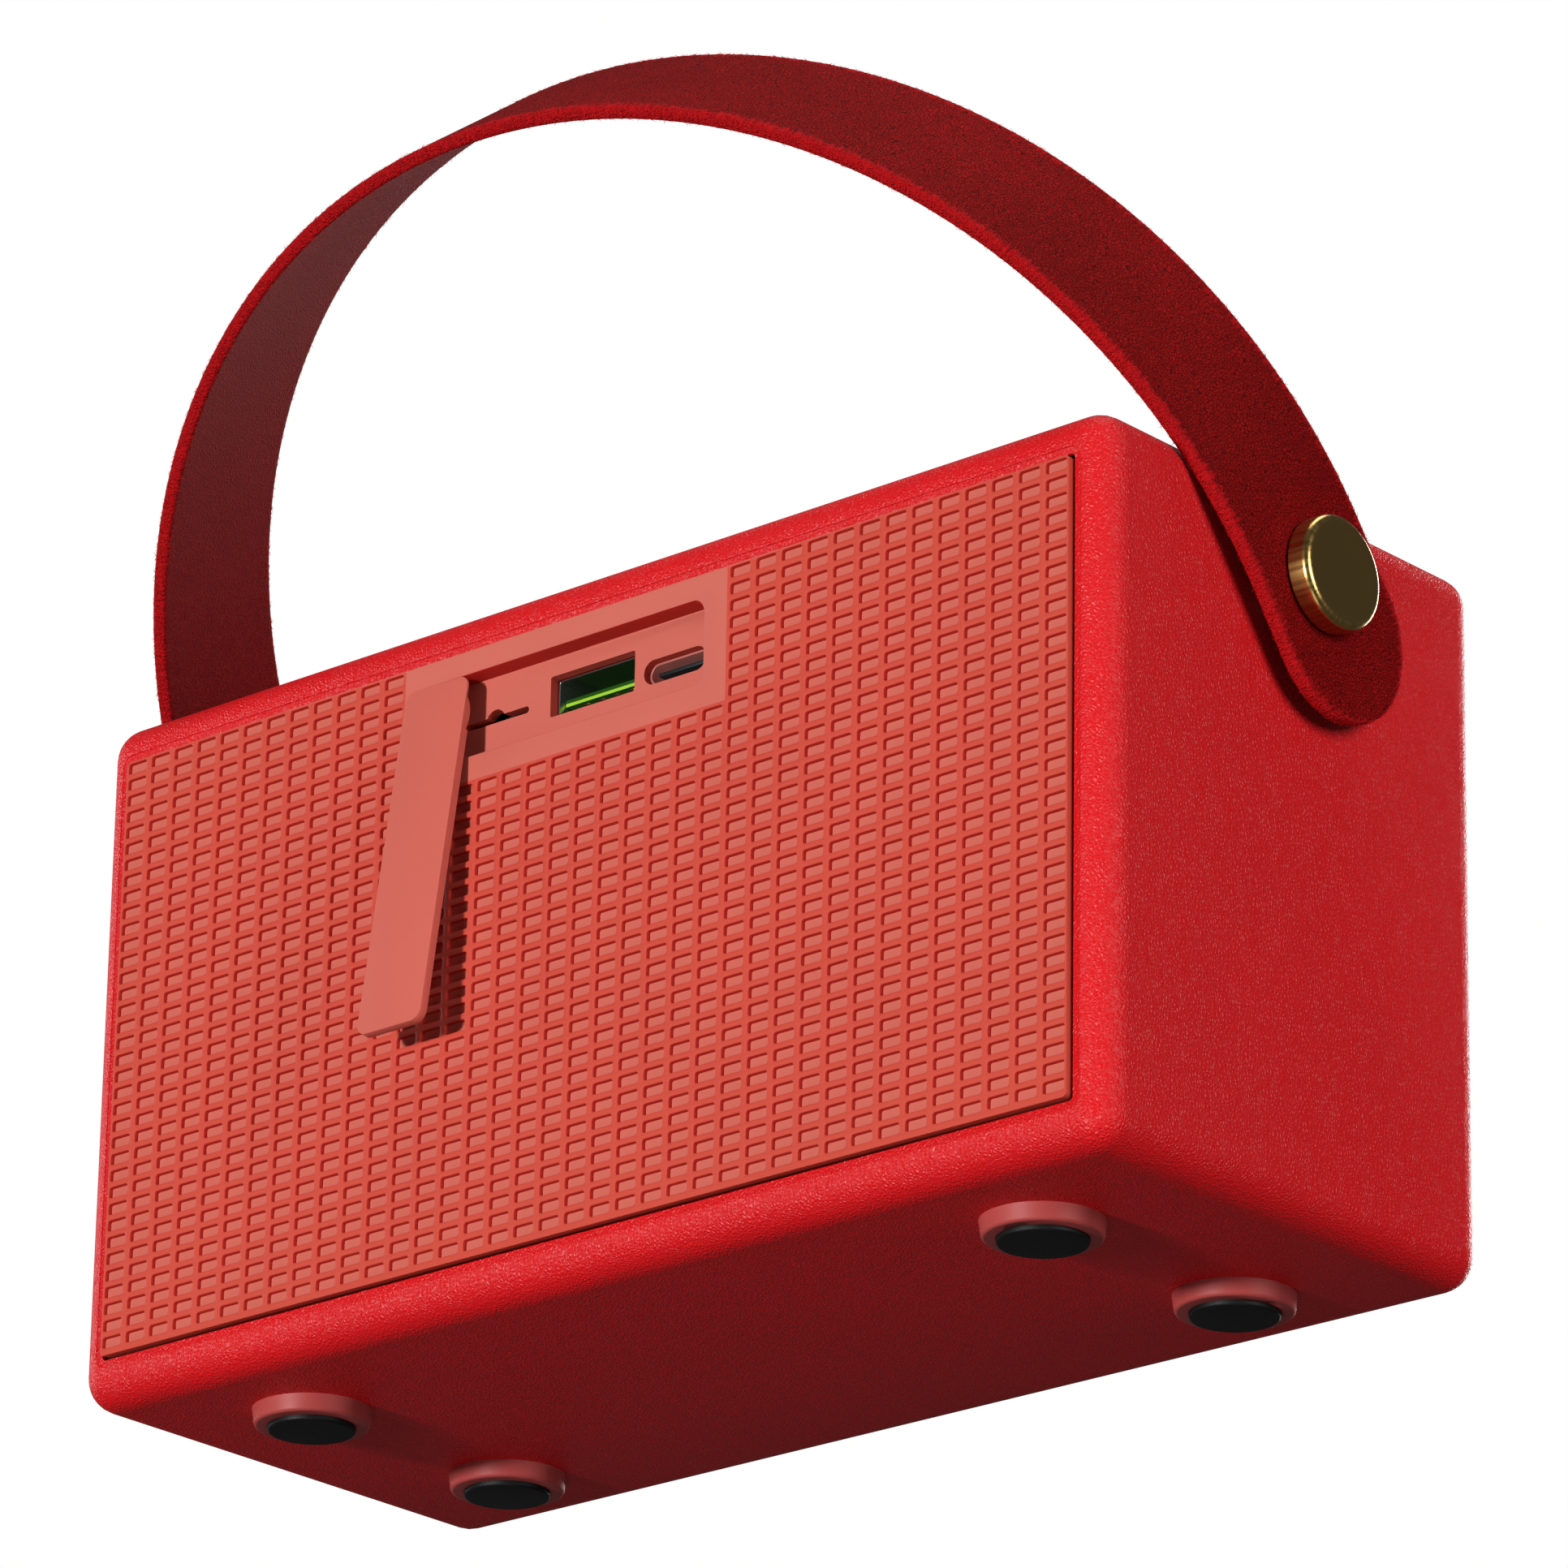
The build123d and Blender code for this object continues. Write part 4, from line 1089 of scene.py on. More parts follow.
        def beyond(one: bpy.types.NodeSocket, two: bpy.types.NodeSocket) -> bpy.types.NodeSocket:
            """Tells whether one value is greater than another.

            Args:
                one: the value.
                two: the limit.

            Returns:
                The test's socket.
            """
            return kit.add("FunctionNodeCompare", {0: one, 1: two}, data_type="FLOAT",
                           operation="GREATER_THAN").outputs[0]

        def both(one: bpy.types.NodeSocket, two: bpy.types.NodeSocket) -> bpy.types.NodeSocket:
            """Tells whether two tests hold.

            Args:
                one: first test.
                two: second test.

            Returns:
                The joined test's socket.
            """
            return kit.add("FunctionNodeBooleanMath", {0: one, 1: two}, operation="AND").outputs[0]

        across = both(beyond(spot["X"], given["Field Low X"]), beyond(given["Field High X"], spot["X"]))
        field_test = both(across, beyond(spot["Z"], given["Field Low Z"]))
        keep = kit.add("FunctionNodeBooleanMath", {0: field_test}, operation="NOT").outputs[0]
        placed = kit.add("GeometryNodeInstanceOnPoints", {"Points": upright.outputs[0], "Selection": keep,
                                                          "Instance": given["Tile"]})
        real = kit.add("GeometryNodeRealizeInstances", {0: placed.outputs[0]})
        merged = kit.add("GeometryNodeMergeByDistance", {"Geometry": real.outputs[0], "Distance": self.weld})
        dressed = kit.add("GeometryNodeSetMaterial", {"Geometry": merged.outputs[0], "Material": material})
        kit.add("NodeGroupOutput", {0: dressed.outputs[0]})
        return tree

    def build(self, low: Vector, high: Vector, bare: tuple[float, float, float], finish: str) -> bpy.types.Object:
        """Makes the lattice on the face of a panel.

        Args:
            low: the panel's lowest corner.
            high: the panel's highest corner.
            bare: lowest X, highest X and lowest Z of the bare field.
            finish: the finish's name.

        Returns:
            A plain mesh object, which the panel and the grille then draw in to their edges.
        """
        wide = self.pitch_wide(high.x - low.x)
        piece = new_piece("lattice", self.tile(wide, self.pitch_high))
        face = high.y if self.facing > 0 else low.y
        top = high.z - self.top_margin - self.pit_height / 2
        spread = (self.rows - 1) * self.pitch_high
        values = {"Columns": self.columns, "Rows": self.rows, "Width": (self.columns - 1) * wide,
                  "Height": spread, "Middle": ((low.x + high.x) / 2, face, top - spread / 2),
                  "Field Low X": bare[0], "Field High X": bare[1], "Field Low Z": bare[2]}
        give_nodes(piece, self.tree(Palette.get(finish)), values)
        return finished(piece)


@dataclass
class PortPanel:
    """Panel with the net of ribs, the bare field and the port bay."""

    bare: tuple[float, float, float] = (-24.6 * MM, 28.5 * MM, 71.75 * MM)
    seam: float = 0.12 * MM
    edge: float = 0.09 * MM
    bay_edge: float = 0.16 * MM
    bay_depth: float = 2.85 * MM
    slack: float = 0.01 * MM
    level: float = 0.9
    lattice: Lattice = field(default_factory=Lattice)

    def build(self) -> bpy.types.Object:
        """Makes the panel from its CAD sides and bay and a new face.

        Returns:
            The panel.
        """
        low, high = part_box("back_panel")
        panel = cad_copy("back_panel", "port_panel")
        net = self.lattice.build(low, high, self.bare, "coral_plastic")
        work = bmesh.new()
        work.from_mesh(panel.data)
        face = high.y
        front = [f for f in work.faces if all(abs(v.co.y - face) < NEAR for v in f.verts)]
        bmesh.ops.delete(work, geom=front, context="FACES")
        outline = [e for e in work.edges if self.on_face(e, face) and e.is_boundary]
        borders = self.loops(outline)
        kept = len(work.verts)
        work.from_mesh(net.data)
        work.verts.ensure_lookup_table()
        self.draw_in(list(work.verts)[kept:], low, high, face)
        rim = [e for e in work.edges if self.on_face(e, face) and len(e.link_faces) == 1]
        bmesh.ops.triangle_fill(work, use_beauty=True, edges=rim, normal=(0.0, 1.0, 0.0))
        zone = work.faces.layers.float.get("zone") or work.faces.layers.float.new("zone")
        for made in work.faces:
            spot = made.calc_center_median()
            if not (self.bare[0] < spot.x < self.bare[1] and spot.z > self.bare[2]):
                continue
            if all(abs(v.co.y - face) < NEAR for v in made.verts) and made[zone] == Zone.RIB.value:
                made[zone] = Zone.FLOOR.value
            elif face - self.bay_depth - self.slack < spot.y < face - self.slack:
                # bay floor gets the salmon floor colour, the bay walls the painted wall shade
                made[zone] = Zone.FLOOR.value if abs(made.normal.y) > self.level else Zone.WALL.value
        for loop in borders:
            edges = [e for e in loop if e.is_valid]
            wide = max(abs(v.co.x) for e in edges for v in e.verts)
            offset = self.edge if wide > high.x - self.seam else self.bay_edge
            bmesh.ops.bevel(work, geom=edges, offset=offset, segments=2, profile=0.5, affect="EDGES",
                            clamp_overlap=True)
        bmesh.ops.recalc_face_normals(work, faces=work.faces)
        work.to_mesh(panel.data)
        work.free()
        bpy.data.objects.remove(net)
        smooth(panel.data, 40.0)
        dress(panel, "coral_plastic")
        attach(panel, "cabinet")
        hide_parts("back_panel")
        return panel

    @staticmethod
    def on_face(edge: bmesh.types.BMEdge, face: float) -> bool:
        """Tells whether an edge lies on the panel's face.

        Args:
            edge: the edge.
            face: Y of the face.

        Returns:
            True if both its ends do.
        """
        return all(abs(v.co.y - face) < NEAR for v in edge.verts)

    @staticmethod
    def loops(edges: list) -> list[list]:
        """Sorts edges into connected loops.

        Args:
            edges: the edges.

        Returns:
            A list of edges for each loop.
        """
        left, found = dict.fromkeys(edges), []
        while left:
            first = next(iter(left))
            del left[first]
            loop, queue = [], [first]
            while queue:
                edge = queue.pop()
                loop.append(edge)
                near = [e for e in dict.fromkeys(e for v in edge.verts for e in v.link_edges) if e in left]
                for other in near:
                    del left[other]
                queue.extend(near)
            found.append(loop)
        return found

    def draw_in(self, verts: list, low: Vector, high: Vector, face: float) -> None:
        """Moves the net's outermost points to just inside the panel's edges.

        Args:
            verts: the net's points.
            low: the panel's lowest corner.
            high: the panel's highest corner.
            face: Y of the panel's face.
        """
        half = (high.x - low.x) / 2 - self.seam
        top = high.z - self.seam
        for vert in verts:
            if abs(vert.co.y - face) < NEAR:
                vert.co.x = max(-half, min(half, vert.co.x))
                vert.co.z = min(top, vert.co.z)


@dataclass
class Grille:
    """Front grille: the same net, open right through and with no bare field."""

    thickness: float = 2.2 * MM
    seam: float = 0.12 * MM
    edge: float = 0.2 * MM
    draft: float = 0.02 * MM
    slack: float = 0.01 * MM
    no_field: tuple[float, float, float] = (1.0, 1.1, 1.0)

    def build(self) -> bpy.types.Object:
        """Makes the grille.

        Returns:
            The grille.
        """
        low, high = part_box("front_grille")
        back = low.y + self.thickness
        lattice = Lattice(hole=Hole.OPEN, facing=-1, pit_depth=self.thickness, draft=self.draft)
        net = lattice.build(low, high, self.no_field, "coral_plastic")
        work = bmesh.new()
        work.from_mesh(net.data)
        half, top = (high.x - low.x) / 2 - self.seam, high.z - self.seam
        for vert in work.verts:
            if abs(vert.co.y - low.y) < NEAR:
                vert.co.x = max(-half, min(half, vert.co.x))
                vert.co.z = min(top, vert.co.z)
        holes = [e for e in work.edges if e.is_boundary and all(abs(v.co.y - back) < self.slack for v in e.verts)]
        front = [e for e in work.edges if e.is_boundary and all(abs(v.co.y - low.y) < NEAR for v in e.verts)]
        frame_loop = self.ring(work, low, high, low.y + self.edge, 0.0)
        rim_loop = self.ring(work, low, high, low.y, self.edge * 0.5)
        back_loop = self.ring(work, low, high, back, 0.0)
        self.join(work, frame_loop, rim_loop)
        self.join(work, back_loop, frame_loop)
        bmesh.ops.triangle_fill(work, use_beauty=True, edges=front + self.edges_of(rim_loop), normal=(0, -1, 0))
        bmesh.ops.triangle_fill(work, use_beauty=True, edges=holes + self.edges_of(back_loop), normal=(0, 1, 0))
        bmesh.ops.recalc_face_normals(work, faces=work.faces)
        mesh = bpy.data.meshes.new("grille_net")
        work.to_mesh(mesh)
        work.free()
        bpy.data.objects.remove(net)
        grille = new_piece("grille_net", mesh)
        smooth(mesh, 40.0)
        dress(grille, "coral_plastic")
        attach(grille, "cabinet")
        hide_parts("front_grille")
        return grille

    @staticmethod
    def ring(work: bmesh.types.BMesh, low: Vector, high: Vector, depth: float, inset: float) -> list:
        """Adds a rectangle of points and edges at one depth.

        Args:
            work: the mesh.
            low: the grille's lowest corner.
            high: the grille's highest corner.
            depth: Y of the rectangle.
            inset: how far it lies inside the grille's edges.

        Returns:
            The points in order.
        """
        spots = ((low.x + inset, low.z + inset), (high.x - inset, low.z + inset),
                 (high.x - inset, high.z - inset), (low.x + inset, high.z - inset))
        verts = [work.verts.new((x, depth, z)) for x, z in spots]
        for one, two in zip(verts, verts[1:] + verts[:1]):
            work.edges.new((one, two))
        return verts

    @staticmethod
    def join(work: bmesh.types.BMesh, one: list, two: list) -> None:
        """Joins two rectangles with four faces.

        Args:
            work: the mesh.
            one: points of the first rectangle.
            two: points of the second rectangle.
        """
        for k in range(4):
            after = (k + 1) % 4
            work.faces.new((one[k], one[after], two[after], two[k]))

    @staticmethod
    def edges_of(verts: list) -> list:
        """Finds the edges of a closed loop.

        Args:
            verts: the loop's points.

        Returns:
            The edges between neighbours.
        """
        chosen = set(verts)
        return [e for v in verts for e in v.link_edges if e.verts[0] in chosen and e.verts[1] in chosen
                and e.verts[0] is v]


# ------------------------------------------------------------------ strap
@dataclass
class Strap:
    """Suede strap: two tails, an arched middle, and a napped rim."""

    width: float = 24.1 * MM
    thickness: float = 1.8 * MM
    half_span: float = 87.0 * MM
    rise: float = 84.2 * MM
    leg: float = 2.2 * MM
    tail: float = 6.3 * MM
    pivot: float = 83.1 * MM
    lean: float = 37.0
    corner: float = 0.6 * MM
    arc_steps: int = 144
    across: int = 10
    fibres: float = 5.0e6
    fibre_length: float = 0.9 * MM
    fibre_radius: float = 0.045 * MM
    fibre_lean: tuple[float, float] = (1.2, 1.5)
    fibre_sway: float = 0.2
    fibre_turn: float = 6.28
    fibre_scale: tuple[float, float] = (0.5, 1.0)
    seed: int = 7
    tail_steps: int = 14
    leg_steps: int = 4
    rim_places: tuple[float, float, float] = (0.0, 0.55 * MM, 1.4 * MM)
    rim_share: tuple[float, float, float] = (0.8, 0.42, 0.0)
    back_rim: float = 0.25
    fibre_from: float = 0.55

    def stations(self) -> list[tuple[Vector, Vector, float]]:
        """Lists the strap's stations from tail to tail.

        Returns:
            For each one, its middle in X and along the lean, its outward direction and its width.
        """
        radius = self.width / 2
        end = []
        for k in range(1, self.tail_steps):
            angle = math.radians(90) * k / self.tail_steps
            end.append((-self.tail - radius * math.cos(angle), 2 * radius * math.sin(angle)))
        straight = self.tail + self.leg
        end += [(-self.tail + straight * k / self.leg_steps, self.width) for k in range(self.leg_steps + 1)]
        left = [(Vector((-self.half_span, v)), Vector((-1.0, 0.0)), w) for v, w in end]
        arch = []
        for k in range(1, self.arc_steps):
            angle = math.pi * (1 - k / self.arc_steps)
            spot = Vector((self.half_span * math.cos(angle), self.leg + self.rise * math.sin(angle)))
            out = Vector((math.cos(angle) / self.half_span, math.sin(angle) / self.rise)).normalized()
            arch.append((spot, out, self.width))
        right = [(Vector((-s.x, s.y)), Vector((1.0, 0.0)), w) for s, o, w in left[::-1]]
        return left + arch + right

    def section(self, width: float) -> list[tuple[float, float, float, float]]:
        """Outline of the strap's section.

        Args:
            width: the section's width.

        Returns:
            For each point, its place across, its place outward, how far it belongs to the rim, and 1 on the back.
        """
        half, thick = width / 2, self.thickness / 2
        corner = min(self.corner, half * 0.4)
        flat = half - corner
        inset = [min(d, flat * 0.5) for d in self.rim_places]
        middle = [(2 * k / self.across - 1) * (flat - inset[2]) for k in range(1, self.across)]
        places = [d - flat for d in inset] + middle + [flat - d for d in inset[::-1]]
        outer = []
        for index, x in enumerate(places):
            near = min(index, len(places) - 1 - index)
            outer.append((x, thick, self.rim_share[near] if near < len(self.rim_share) else 0.0, 0.0))
        inner = [(x, -thick, self.back_rim if index in (0, len(places) - 1) else 0.0, 1.0)
                 for index, (x, _, _, _) in enumerate(outer[::-1])]
        right = []
        for sign in (1, -1):
            for k in (1, 2, 3) if sign > 0 else (3, 2, 1):
                angle = math.radians(90 - 30 * k)
                right.append((flat + corner * math.cos(angle), sign * (thick - corner + corner * math.sin(angle)),
                              1.0, 0.0))
        left = [(-x, -t, r, b) for x, t, r, b in right]
        return outer + right + inner + left

    def build(self) -> bpy.types.Object:
        """Makes the strap with its nap, and stands it in for its CAD node.

        Returns:
            The strap.
        """
        lean = math.radians(self.lean)
        upward = Vector((0.0, math.sin(lean), math.cos(lean)))
        across = Vector((0.0, math.cos(lean), -math.sin(lean)))
        sideways = Vector((1.0, 0.0, 0.0))
        start = Vector((0.0, 0.0, self.pivot))
        points, faces, rim, back, run, over = [], [], [], [], [], []
        stations = self.stations()
        length, before = 0.0, stations[0][0]
        for spot, out, width in stations:
            length += (spot - before).length
            before = spot
            middle = start + spot.x * sideways + spot.y * upward
            away = out.x * sideways + out.y * upward
            for x, t, r, b in self.section(width):
                points.append(middle + x * across + t * away)
                rim.append(r)
                back.append(b)
                run.append(length)
                over.append(x)
        ring = len(self.section(self.width))
        for k in range(len(stations) - 1):
            for j in range(ring):
                after = (j + 1) % ring
                faces.append([k * ring + j, k * ring + after, (k + 1) * ring + after, (k + 1) * ring + j])
        faces += [list(range(ring)), [(len(stations) - 1) * ring + j for j in range(ring)][::-1]]
        mesh = mesh_of("strap_suede", points, faces)
        for name, values in (("rim", rim), ("back", back), ("run", run), ("over", over)):
            mesh.attributes.new(name, "FLOAT", "POINT").data.foreach_set("value", values)
        strap = new_piece("strap_suede", mesh)
        CabinetSkin.outward(strap)
        smooth(strap.data, 50.0)
        dress(strap, "red_suede")
        nap = self.nap(strap)
        for piece in (strap, nap):
            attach(piece, "strap")
        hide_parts("strap")
        return strap

    def nap(self, strap: bpy.types.Object) -> bpy.types.Object:
        """Makes the short fibres that stand on the strap's cut rims.

        Args:
            strap: the strap.

        Returns:
            The fibres, as one plain mesh.
        """
        piece = new_piece("strap_nap", strap.data.copy())
        give_nodes(piece, self.nap_tree(Palette.get("red_nap")),
                   {"Density": self.fibres, "Length": self.fibre_length, "Radius": self.fibre_radius,
                    "Seed": self.seed})
        return finished(piece)

    def nap_tree(self, material: bpy.types.Material) -> bpy.types.NodeTree:
        """Builds the tree that scatters leaning fibres over the rim.

        Args:
            material: the fibres' finish.

        Returns:
            The Geometry Nodes tree.
        """
        tree = bpy.data.node_groups.new("nap", "GeometryNodeTree")
        tree.interface.new_socket(name="Strap", in_out="INPUT", socket_type="NodeSocketGeometry")
        for label, kind in (("Density", "Float"), ("Length", "Float"), ("Radius", "Float"), ("Seed", "Int")):
            tree.interface.new_socket(name=label, in_out="INPUT", socket_type=f"NodeSocket{kind}")
        tree.interface.new_socket(name="Fibres", in_out="OUTPUT", socket_type="NodeSocketGeometry")
        kit = NodeTree(tree)
        given = kit.add("NodeGroupInput").outputs
        rim = kit.add("GeometryNodeInputNamedAttribute", {"Name": "rim"}, data_type="FLOAT").outputs[0]
        on_rim = kit.add("FunctionNodeCompare", {0: rim, 1: self.fibre_from}, data_type="FLOAT",
                         operation="GREATER_THAN").outputs[0]
        spots = kit.add("GeometryNodeDistributePointsOnFaces", {"Mesh": given["Strap"], "Selection": on_rim,
                                                                "Density": given["Density"], "Seed": given["Seed"]})
        blade = kit.add("GeometryNodeMeshCone", {"Vertices": 3, "Radius Top": 0.0, "Radius Bottom": given["Radius"],
                                                 "Depth": given["Length"]})
        least = (self.fibre_lean[0], -self.fibre_sway, 0.0)
        most = (self.fibre_lean[1], self.fibre_sway, self.fibre_turn)
        lean = kit.add("FunctionNodeRandomValue", {0: least, 1: most, "Seed": given["Seed"]},
                       data_type="FLOAT_VECTOR")
        turned = kit.add("FunctionNodeRotateRotation", {0: spots.outputs["Rotation"], 1: lean.outputs[0]},
                         rotation_space="LOCAL")
        size = kit.add("FunctionNodeRandomValue", {2: self.fibre_scale[0], 3: self.fibre_scale[1],
                                                   "Seed": given["Seed"]}, data_type="FLOAT")
        placed = kit.add("GeometryNodeInstanceOnPoints", {"Points": spots.outputs["Points"],
                                                          "Instance": blade.outputs["Mesh"],
                                                          "Rotation": turned.outputs[0], "Scale": size.outputs[1]})
        real = kit.add("GeometryNodeRealizeInstances", {0: placed.outputs[0]})
        dressed = kit.add("GeometryNodeSetMaterial", {"Geometry": real.outputs[0], "Material": material})
        kit.add("NodeGroupOutput", {0: dressed.outputs[0]})
        return tree


@dataclass
class Stud:
    """Turned brass stud: domed cap, and a post through the strap into the cabinet."""

    side: Side
    node: str
    cap_radius: float = 7.25 * MM
    cap_depth: float = 3.2 * MM
    edge: float = 0.9 * MM
    dish: float = 0.12 * MM
    post_radius: float = 2.5 * MM
    inner_edge: float = 0.25 * MM
    edge_steps: int = 6
    turns: int = 96

    def profile(self, inner: float, outer: float) -> list[Point]:
        """Lists the profile from the end of the post to the middle of the cap.

        Args:
            inner: distance of the post's end from the middle of the cabinet.
            outer: distance of the cap's face.

        Returns:
            Pairs of distance and radius.
        """
        seat = outer - self.cap_depth
        line = [(inner, 0.0), (inner, self.post_radius), (seat, self.post_radius),
                (seat, self.cap_radius - self.inner_edge), (seat + self.inner_edge, self.cap_radius)]
        flat = self.cap_radius - self.edge
        for k in range(self.edge_steps + 1):
            angle = math.radians(90) * k / self.edge_steps
            line.append((outer - self.edge + self.edge * math.sin(angle), flat + self.edge * math.cos(angle)))
        line += [(outer - self.dish * share, flat * place) for share, place in ((0.6, 0.8), (1.0, 0.4), (1.0, 0.0))]
        return line

    def build(self) -> bpy.types.Object:
        """Makes the stud, and stands it in for its CAD node.

        Returns:
            The stud.
        """
        low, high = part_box(self.node)
        reach = sorted((abs(low.x), abs(high.x)))
        centre = (low + high) / 2
        line = self.profile(*reach)
        points, faces, rings = [], [], []
        for distance, radius in line:
            count = self.turns if radius else 1
            rings.append((len(points), count))
            for k in range(count):
                angle = 2 * math.pi * k / self.turns
                points.append((self.side.value * distance, centre.y + radius * math.cos(angle),
                               centre.z + radius * math.sin(angle)))
        for (one, few), (two, many) in zip(rings, rings[1:]):
            for k in range(self.turns):
                after = (k + 1) % self.turns
                corners = [one + (k if few > 1 else 0), one + (after if few > 1 else 0),
                           two + (after if many > 1 else 0), two + (k if many > 1 else 0)]
                faces.append(list(dict.fromkeys(corners)))
        stud = new_piece(f"{self.node}_brass", mesh_of(self.node, points, faces))
        CabinetSkin.outward(stud)
        smooth(stud.data, 40.0)
        dress(stud, "brass")
        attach(stud, "cabinet")
        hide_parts(self.node)
        return stud


# ------------------------------------------------------------------ small pieces
@dataclass
class SoftPieces:
    """CAD pieces whose shape is right, given broken edges and a finish."""

    edges: dict[str, tuple[str, float, str]] = field(default_factory=lambda: {
        "port_flap": ("coral_rubber", 0.22 * MM, "flap"),
        "flap_tether": ("coral_rubber", 0.08 * MM, "flap_stalk"),
        "usb_a_shell": ("steel", 0.06 * MM, "cabinet"),
        "usb_a_tongue": ("green_plastic", 0.06 * MM, "cabinet"),
        "usb_c_shell": ("shell_coral_reflection", 0.05 * MM, "cabinet"),
        "usb_c_tongue": ("black_plastic", 0.04 * MM, "cabinet"),
        "card_reader": ("black_steel", 0.05 * MM, "cabinet"),
        "foot_rings": ("shaded_ring_plastic", 0.0, "cabinet"),
        "foot_pads": ("black_rubber", 0.1 * MM, "cabinet"),
        "control_plate": ("coral_plastic", 0.12 * MM, "cabinet"),
    })
    # share of the tongue's front, from below, that gets the painted highlight
    lit_part: float = 0.42
    facing_out: float = 0.6

    def build(self) -> int:
        """Makes each piece.

        Returns:
            How many were made.
        """
        for node, (finish, width, body) in self.edges.items():
            piece = soft_copy(node, finish, width, body)
            if node == "usb_a_tongue":
                self.paint_edge_highlight(piece)
        return len(self.edges)

    def paint_edge_highlight(self, tongue: bpy.types.Object) -> None:
        """Gives the lower part of the tongue's front a lighter green as a painted highlight.

        Args:
            tongue: the tongue of the flat socket.
        """
        low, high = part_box("usb_a_tongue")
        line = low.z + self.lit_part * (high.z - low.z)
        work = bmesh.new()
        work.from_mesh(tongue.data)
        bmesh.ops.bisect_plane(work, geom=[*work.verts, *work.edges, *work.faces], dist=0.1 * NEAR,
                               plane_co=(0.0, 0.0, line), plane_no=(0.0, 0.0, 1.0))
        work.to_mesh(tongue.data)
        work.free()
        tongue.data.materials.append(Palette.get("green_edge_highlight"))
        for face in tongue.data.polygons:
            face.material_index = int(face.normal.y > self.facing_out and face.center.z < line)


@dataclass
class Contacts:
    """Gold contacts on the wide socket's tongue."""

    count: int = 4
    pitch: float = 2.5 * MM
    width: float = 1.1 * MM
    length: float = 6.0 * MM
    height: float = 0.12 * MM
    inset: float = 0.7 * MM
    edge: float = 0.04 * MM
    blade: float = 0.5 * MM

    def build(self) -> bpy.types.Object:
        """Makes the contacts on the tongue's lower face.

        Returns:
            The contacts, as one piece.
        """
        low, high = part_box("usb_a_tongue")
        work = bmesh.new()
        for k in range(self.count):
            x = (low.x + high.x) / 2 + (k - (self.count - 1) / 2) * self.pitch
            made = bmesh.ops.create_cube(work, size=1.0)
            for vert in made["verts"]:
                vert.co = Vector((x + vert.co.x * self.width,
                                  high.y - self.inset + (vert.co.y - 0.5) * self.length,
                                  self.under + vert.co.z * self.height))
        bmesh.ops.bevel(work, geom=list(work.edges), offset=self.edge, segments=2, profile=0.5, affect="EDGES")
        mesh = bpy.data.meshes.new("contacts")
        work.to_mesh(mesh)
        work.free()
        piece = new_piece("socket_contacts", mesh)
        smooth(mesh, 40.0)
        dress(piece, "gold_contact")
        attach(piece, "cabinet")
        return piece

    @property
    def under(self) -> float:
        """Height of the underside of the tongue's blade."""
        spots = [v.co for v in frame["nodes"]["usb_a_tongue"].data.vertices]
        face = max(spot.y for spot in spots)
        return min(spot.z for spot in spots if spot.y > face - self.blade)


class Sign(Enum):
    """Plain sign moulded on a button."""

    POWER = "power"
    MINUS = "minus"
    PLAY = "play"
    PLUS = "plus"
    MODE = "mode"


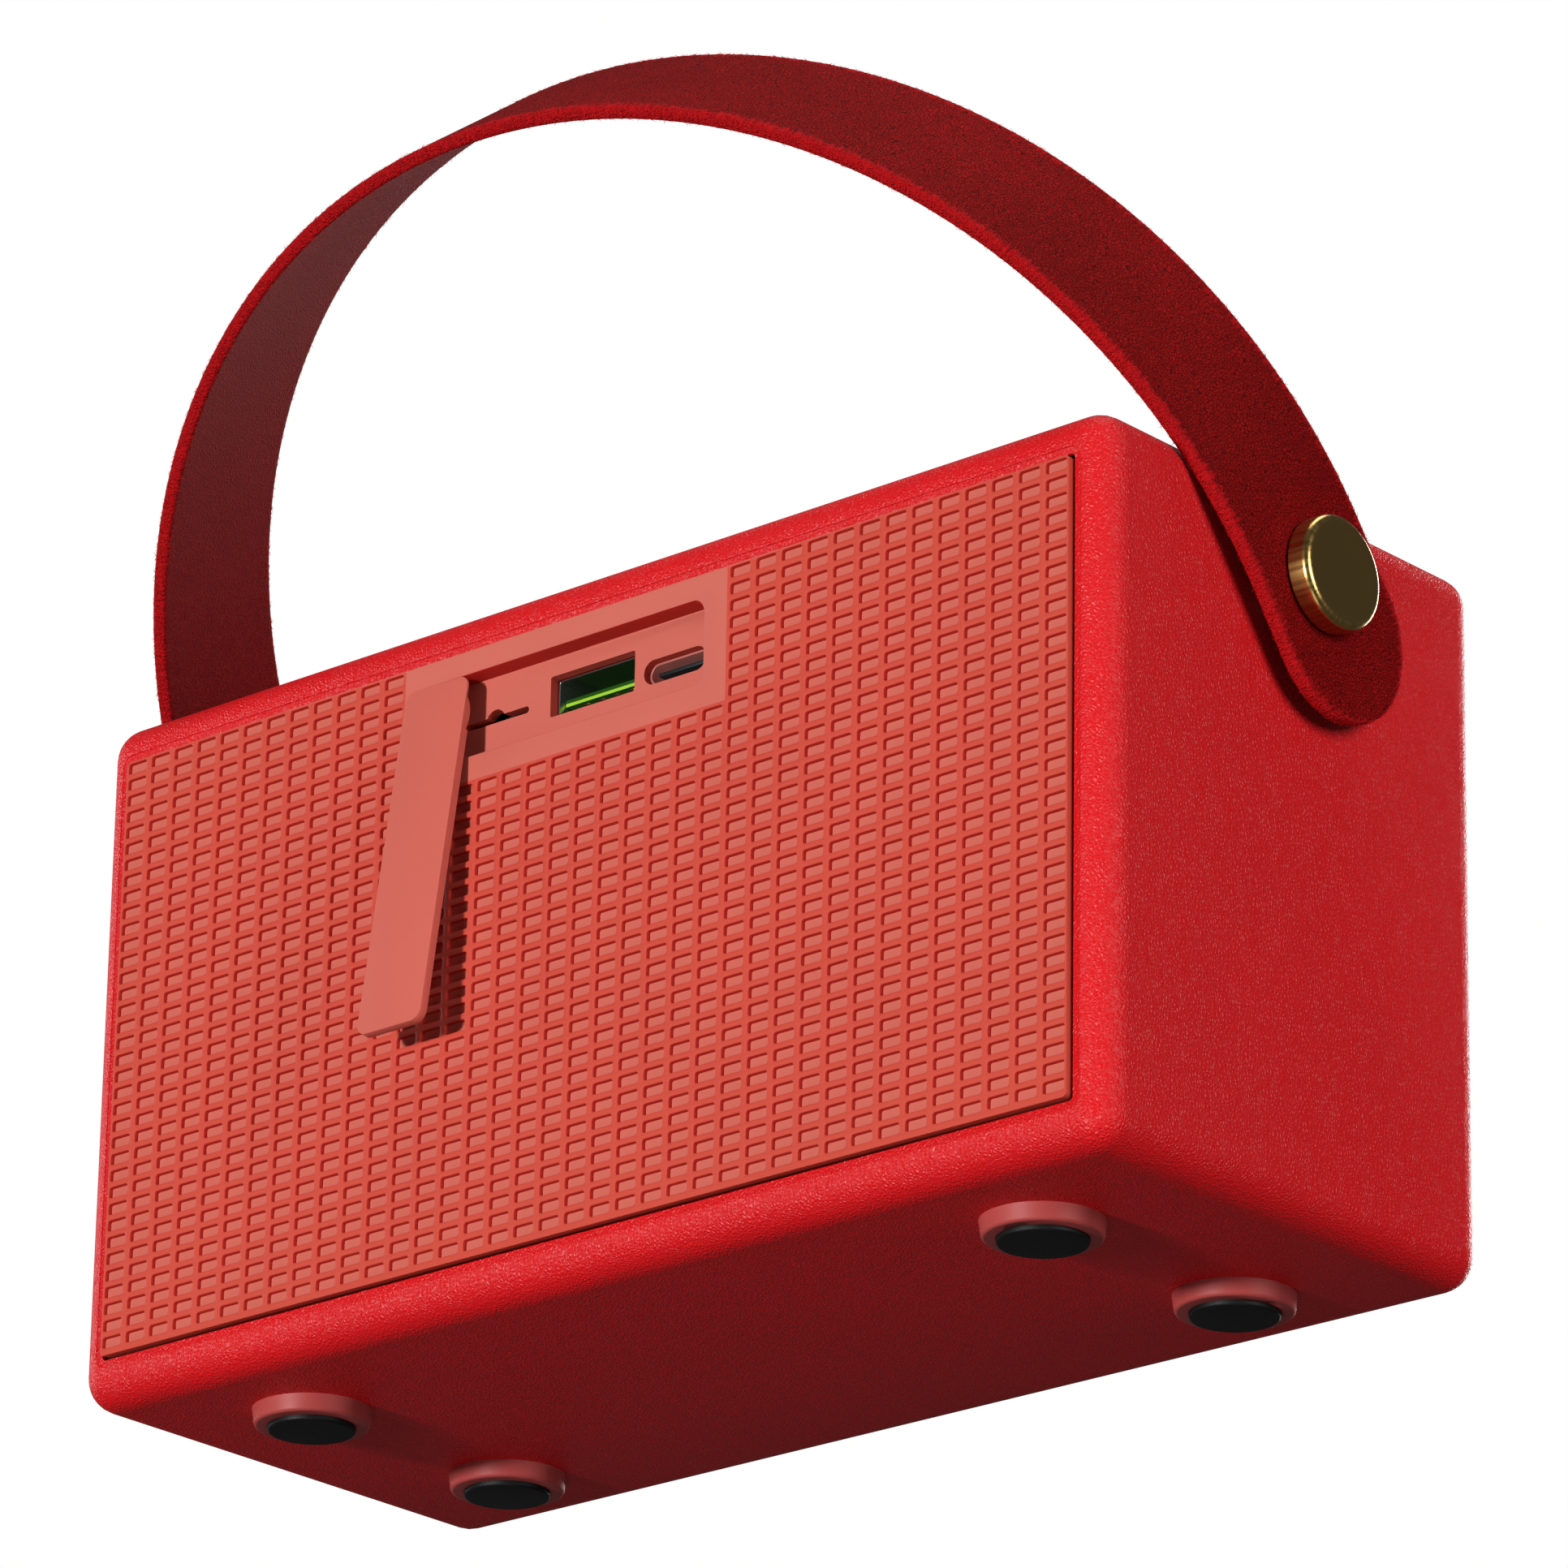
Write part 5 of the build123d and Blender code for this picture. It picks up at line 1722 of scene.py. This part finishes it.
@dataclass
class Button:
    """Top button with a plain raised sign."""

    sign: Sign
    edge: float = 0.3 * MM
    line: float = 0.5 * MM
    span: float = 3.2 * MM
    rise: float = 0.08 * MM
    edge_steps: int = 3
    ring_start: float = 130.0
    ring_turn: float = 280.0
    ring_steps: int = 18
    weld: float = 0.002 * MM

    def strokes(self) -> list[list[Point]]:
        """Lists the sign's outlines about its middle.

        Returns:
            Closed outlines, each anticlockwise.
        """
        half, thin = self.span / 2, self.line / 2

        def bar(x0: float, y0: float, x1: float, y1: float) -> list[Point]:
            """Makes a rectangle's outline.

            Args:
                x0: lowest place across.
                y0: lowest place upward.
                x1: highest place across.
                y1: highest place upward.

            Returns:
                Its corners, anticlockwise.
            """
            return [(x0, y0), (x1, y0), (x1, y1), (x0, y1)]

        if self.sign is Sign.MINUS:
            return [bar(-half, -thin, half, thin)]
        if self.sign is Sign.PLUS:
            return [bar(-half, -thin, half, thin), bar(-thin, thin, thin, half), bar(-thin, -half, thin, -thin)]
        if self.sign is Sign.PLAY:
            return [[(-half * 0.7, -half), (half, 0.0), (-half * 0.7, half)]]
        if self.sign is Sign.MODE:
            return [bar(x - thin, -half, x + thin, half * h) for x, h in
                    ((-half + thin, 0.1), (0.0, 1.0), (half - thin, 0.5))]
        turns = [math.radians(self.ring_start + self.ring_turn * k / self.ring_steps)
                 for k in range(self.ring_steps + 1)]
        outer = [(half * math.cos(a), half * math.sin(a)) for a in turns]
        inner = [((half - self.line) * math.cos(a), (half - self.line) * math.sin(a)) for a in turns]
        ring = [[outer[k], outer[k + 1], inner[k + 1], inner[k]] for k in range(len(turns) - 1)]
        return ring + [bar(-thin, 0.1 * half, thin, half)]

    def build(self) -> bpy.types.Object:
        """Makes the button and its sign.

        Returns:
            The button.
        """
        node, body = f"button_{self.sign.value}", f"{self.sign.value}_button"
        cap = soft_copy(node, "button_rubber", self.edge, body, self.edge_steps)
        low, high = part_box(node)
        middle = (low + high) / 2
        points, faces = [], []
        for outline in self.strokes():
            first, count = len(points), len(outline)
            for z in (high.z - self.rise, high.z + self.rise):
                points += [(middle.x + x, middle.y + y, z) for x, y in outline]
            faces += [[first + k for k in face] for face in prism_faces(count)]
        work = bmesh.new()
        work.from_mesh(mesh_of("sign", points, faces))
        bmesh.ops.remove_doubles(work, verts=work.verts, dist=self.weld)
        inside = [f for f in work.faces if abs(f.normal.z) < 0.5 and
                  all(len(e.link_faces) > 2 for e in f.edges if abs(e.verts[0].co.z - e.verts[1].co.z) > NEAR)]
        bmesh.ops.delete(work, geom=inside, context="FACES_ONLY")
        bmesh.ops.recalc_face_normals(work, faces=work.faces)
        mesh = bpy.data.meshes.new("sign")
        work.to_mesh(mesh)
        work.free()
        sign = new_piece(f"sign_{self.sign.value}", mesh)
        dress(sign, "sign_print")
        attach(sign, body)
        return cap


class Insides:
    """CAD pieces that keep their mesh and get a finer finish."""

    @staticmethod
    def build() -> int:
        """Sets the finish of every CAD node by its slot.

        Returns:
            How many nodes were dressed.
        """
        parts = frame["record"]["subparts"]
        for part in parts:
            for place in frame["nodes"][part["node"]].material_slots:
                place.material = Palette.get(part["material_slot"])
        return len(parts)


def main() -> None:
    """Builds every piece in order."""
    logging.basicConfig(level=logging.INFO, format="%(message)s")
    Studio().build()
    log.info("studio ready")
    log.info("%d CAD nodes dressed", Insides.build())
    log.info("%s", CabinetSkin().build().name)
    log.info("%s", PortPanel().build().name)
    log.info("%s", Grille().build().name)
    log.info("%d soft pieces", SoftPieces().build())
    log.info("%s", Contacts().build().name)
    for sign in Sign:
        log.info("%s", Button(sign).build().name)
    log.info("%s", Strap().build().name)
    for side, node in ((Side.LEFT, "strap_stud_left"), (Side.RIGHT, "strap_stud_right")):
        log.info("%s", Stud(side, node).build().name)


if __name__ == "__main__":
    main()
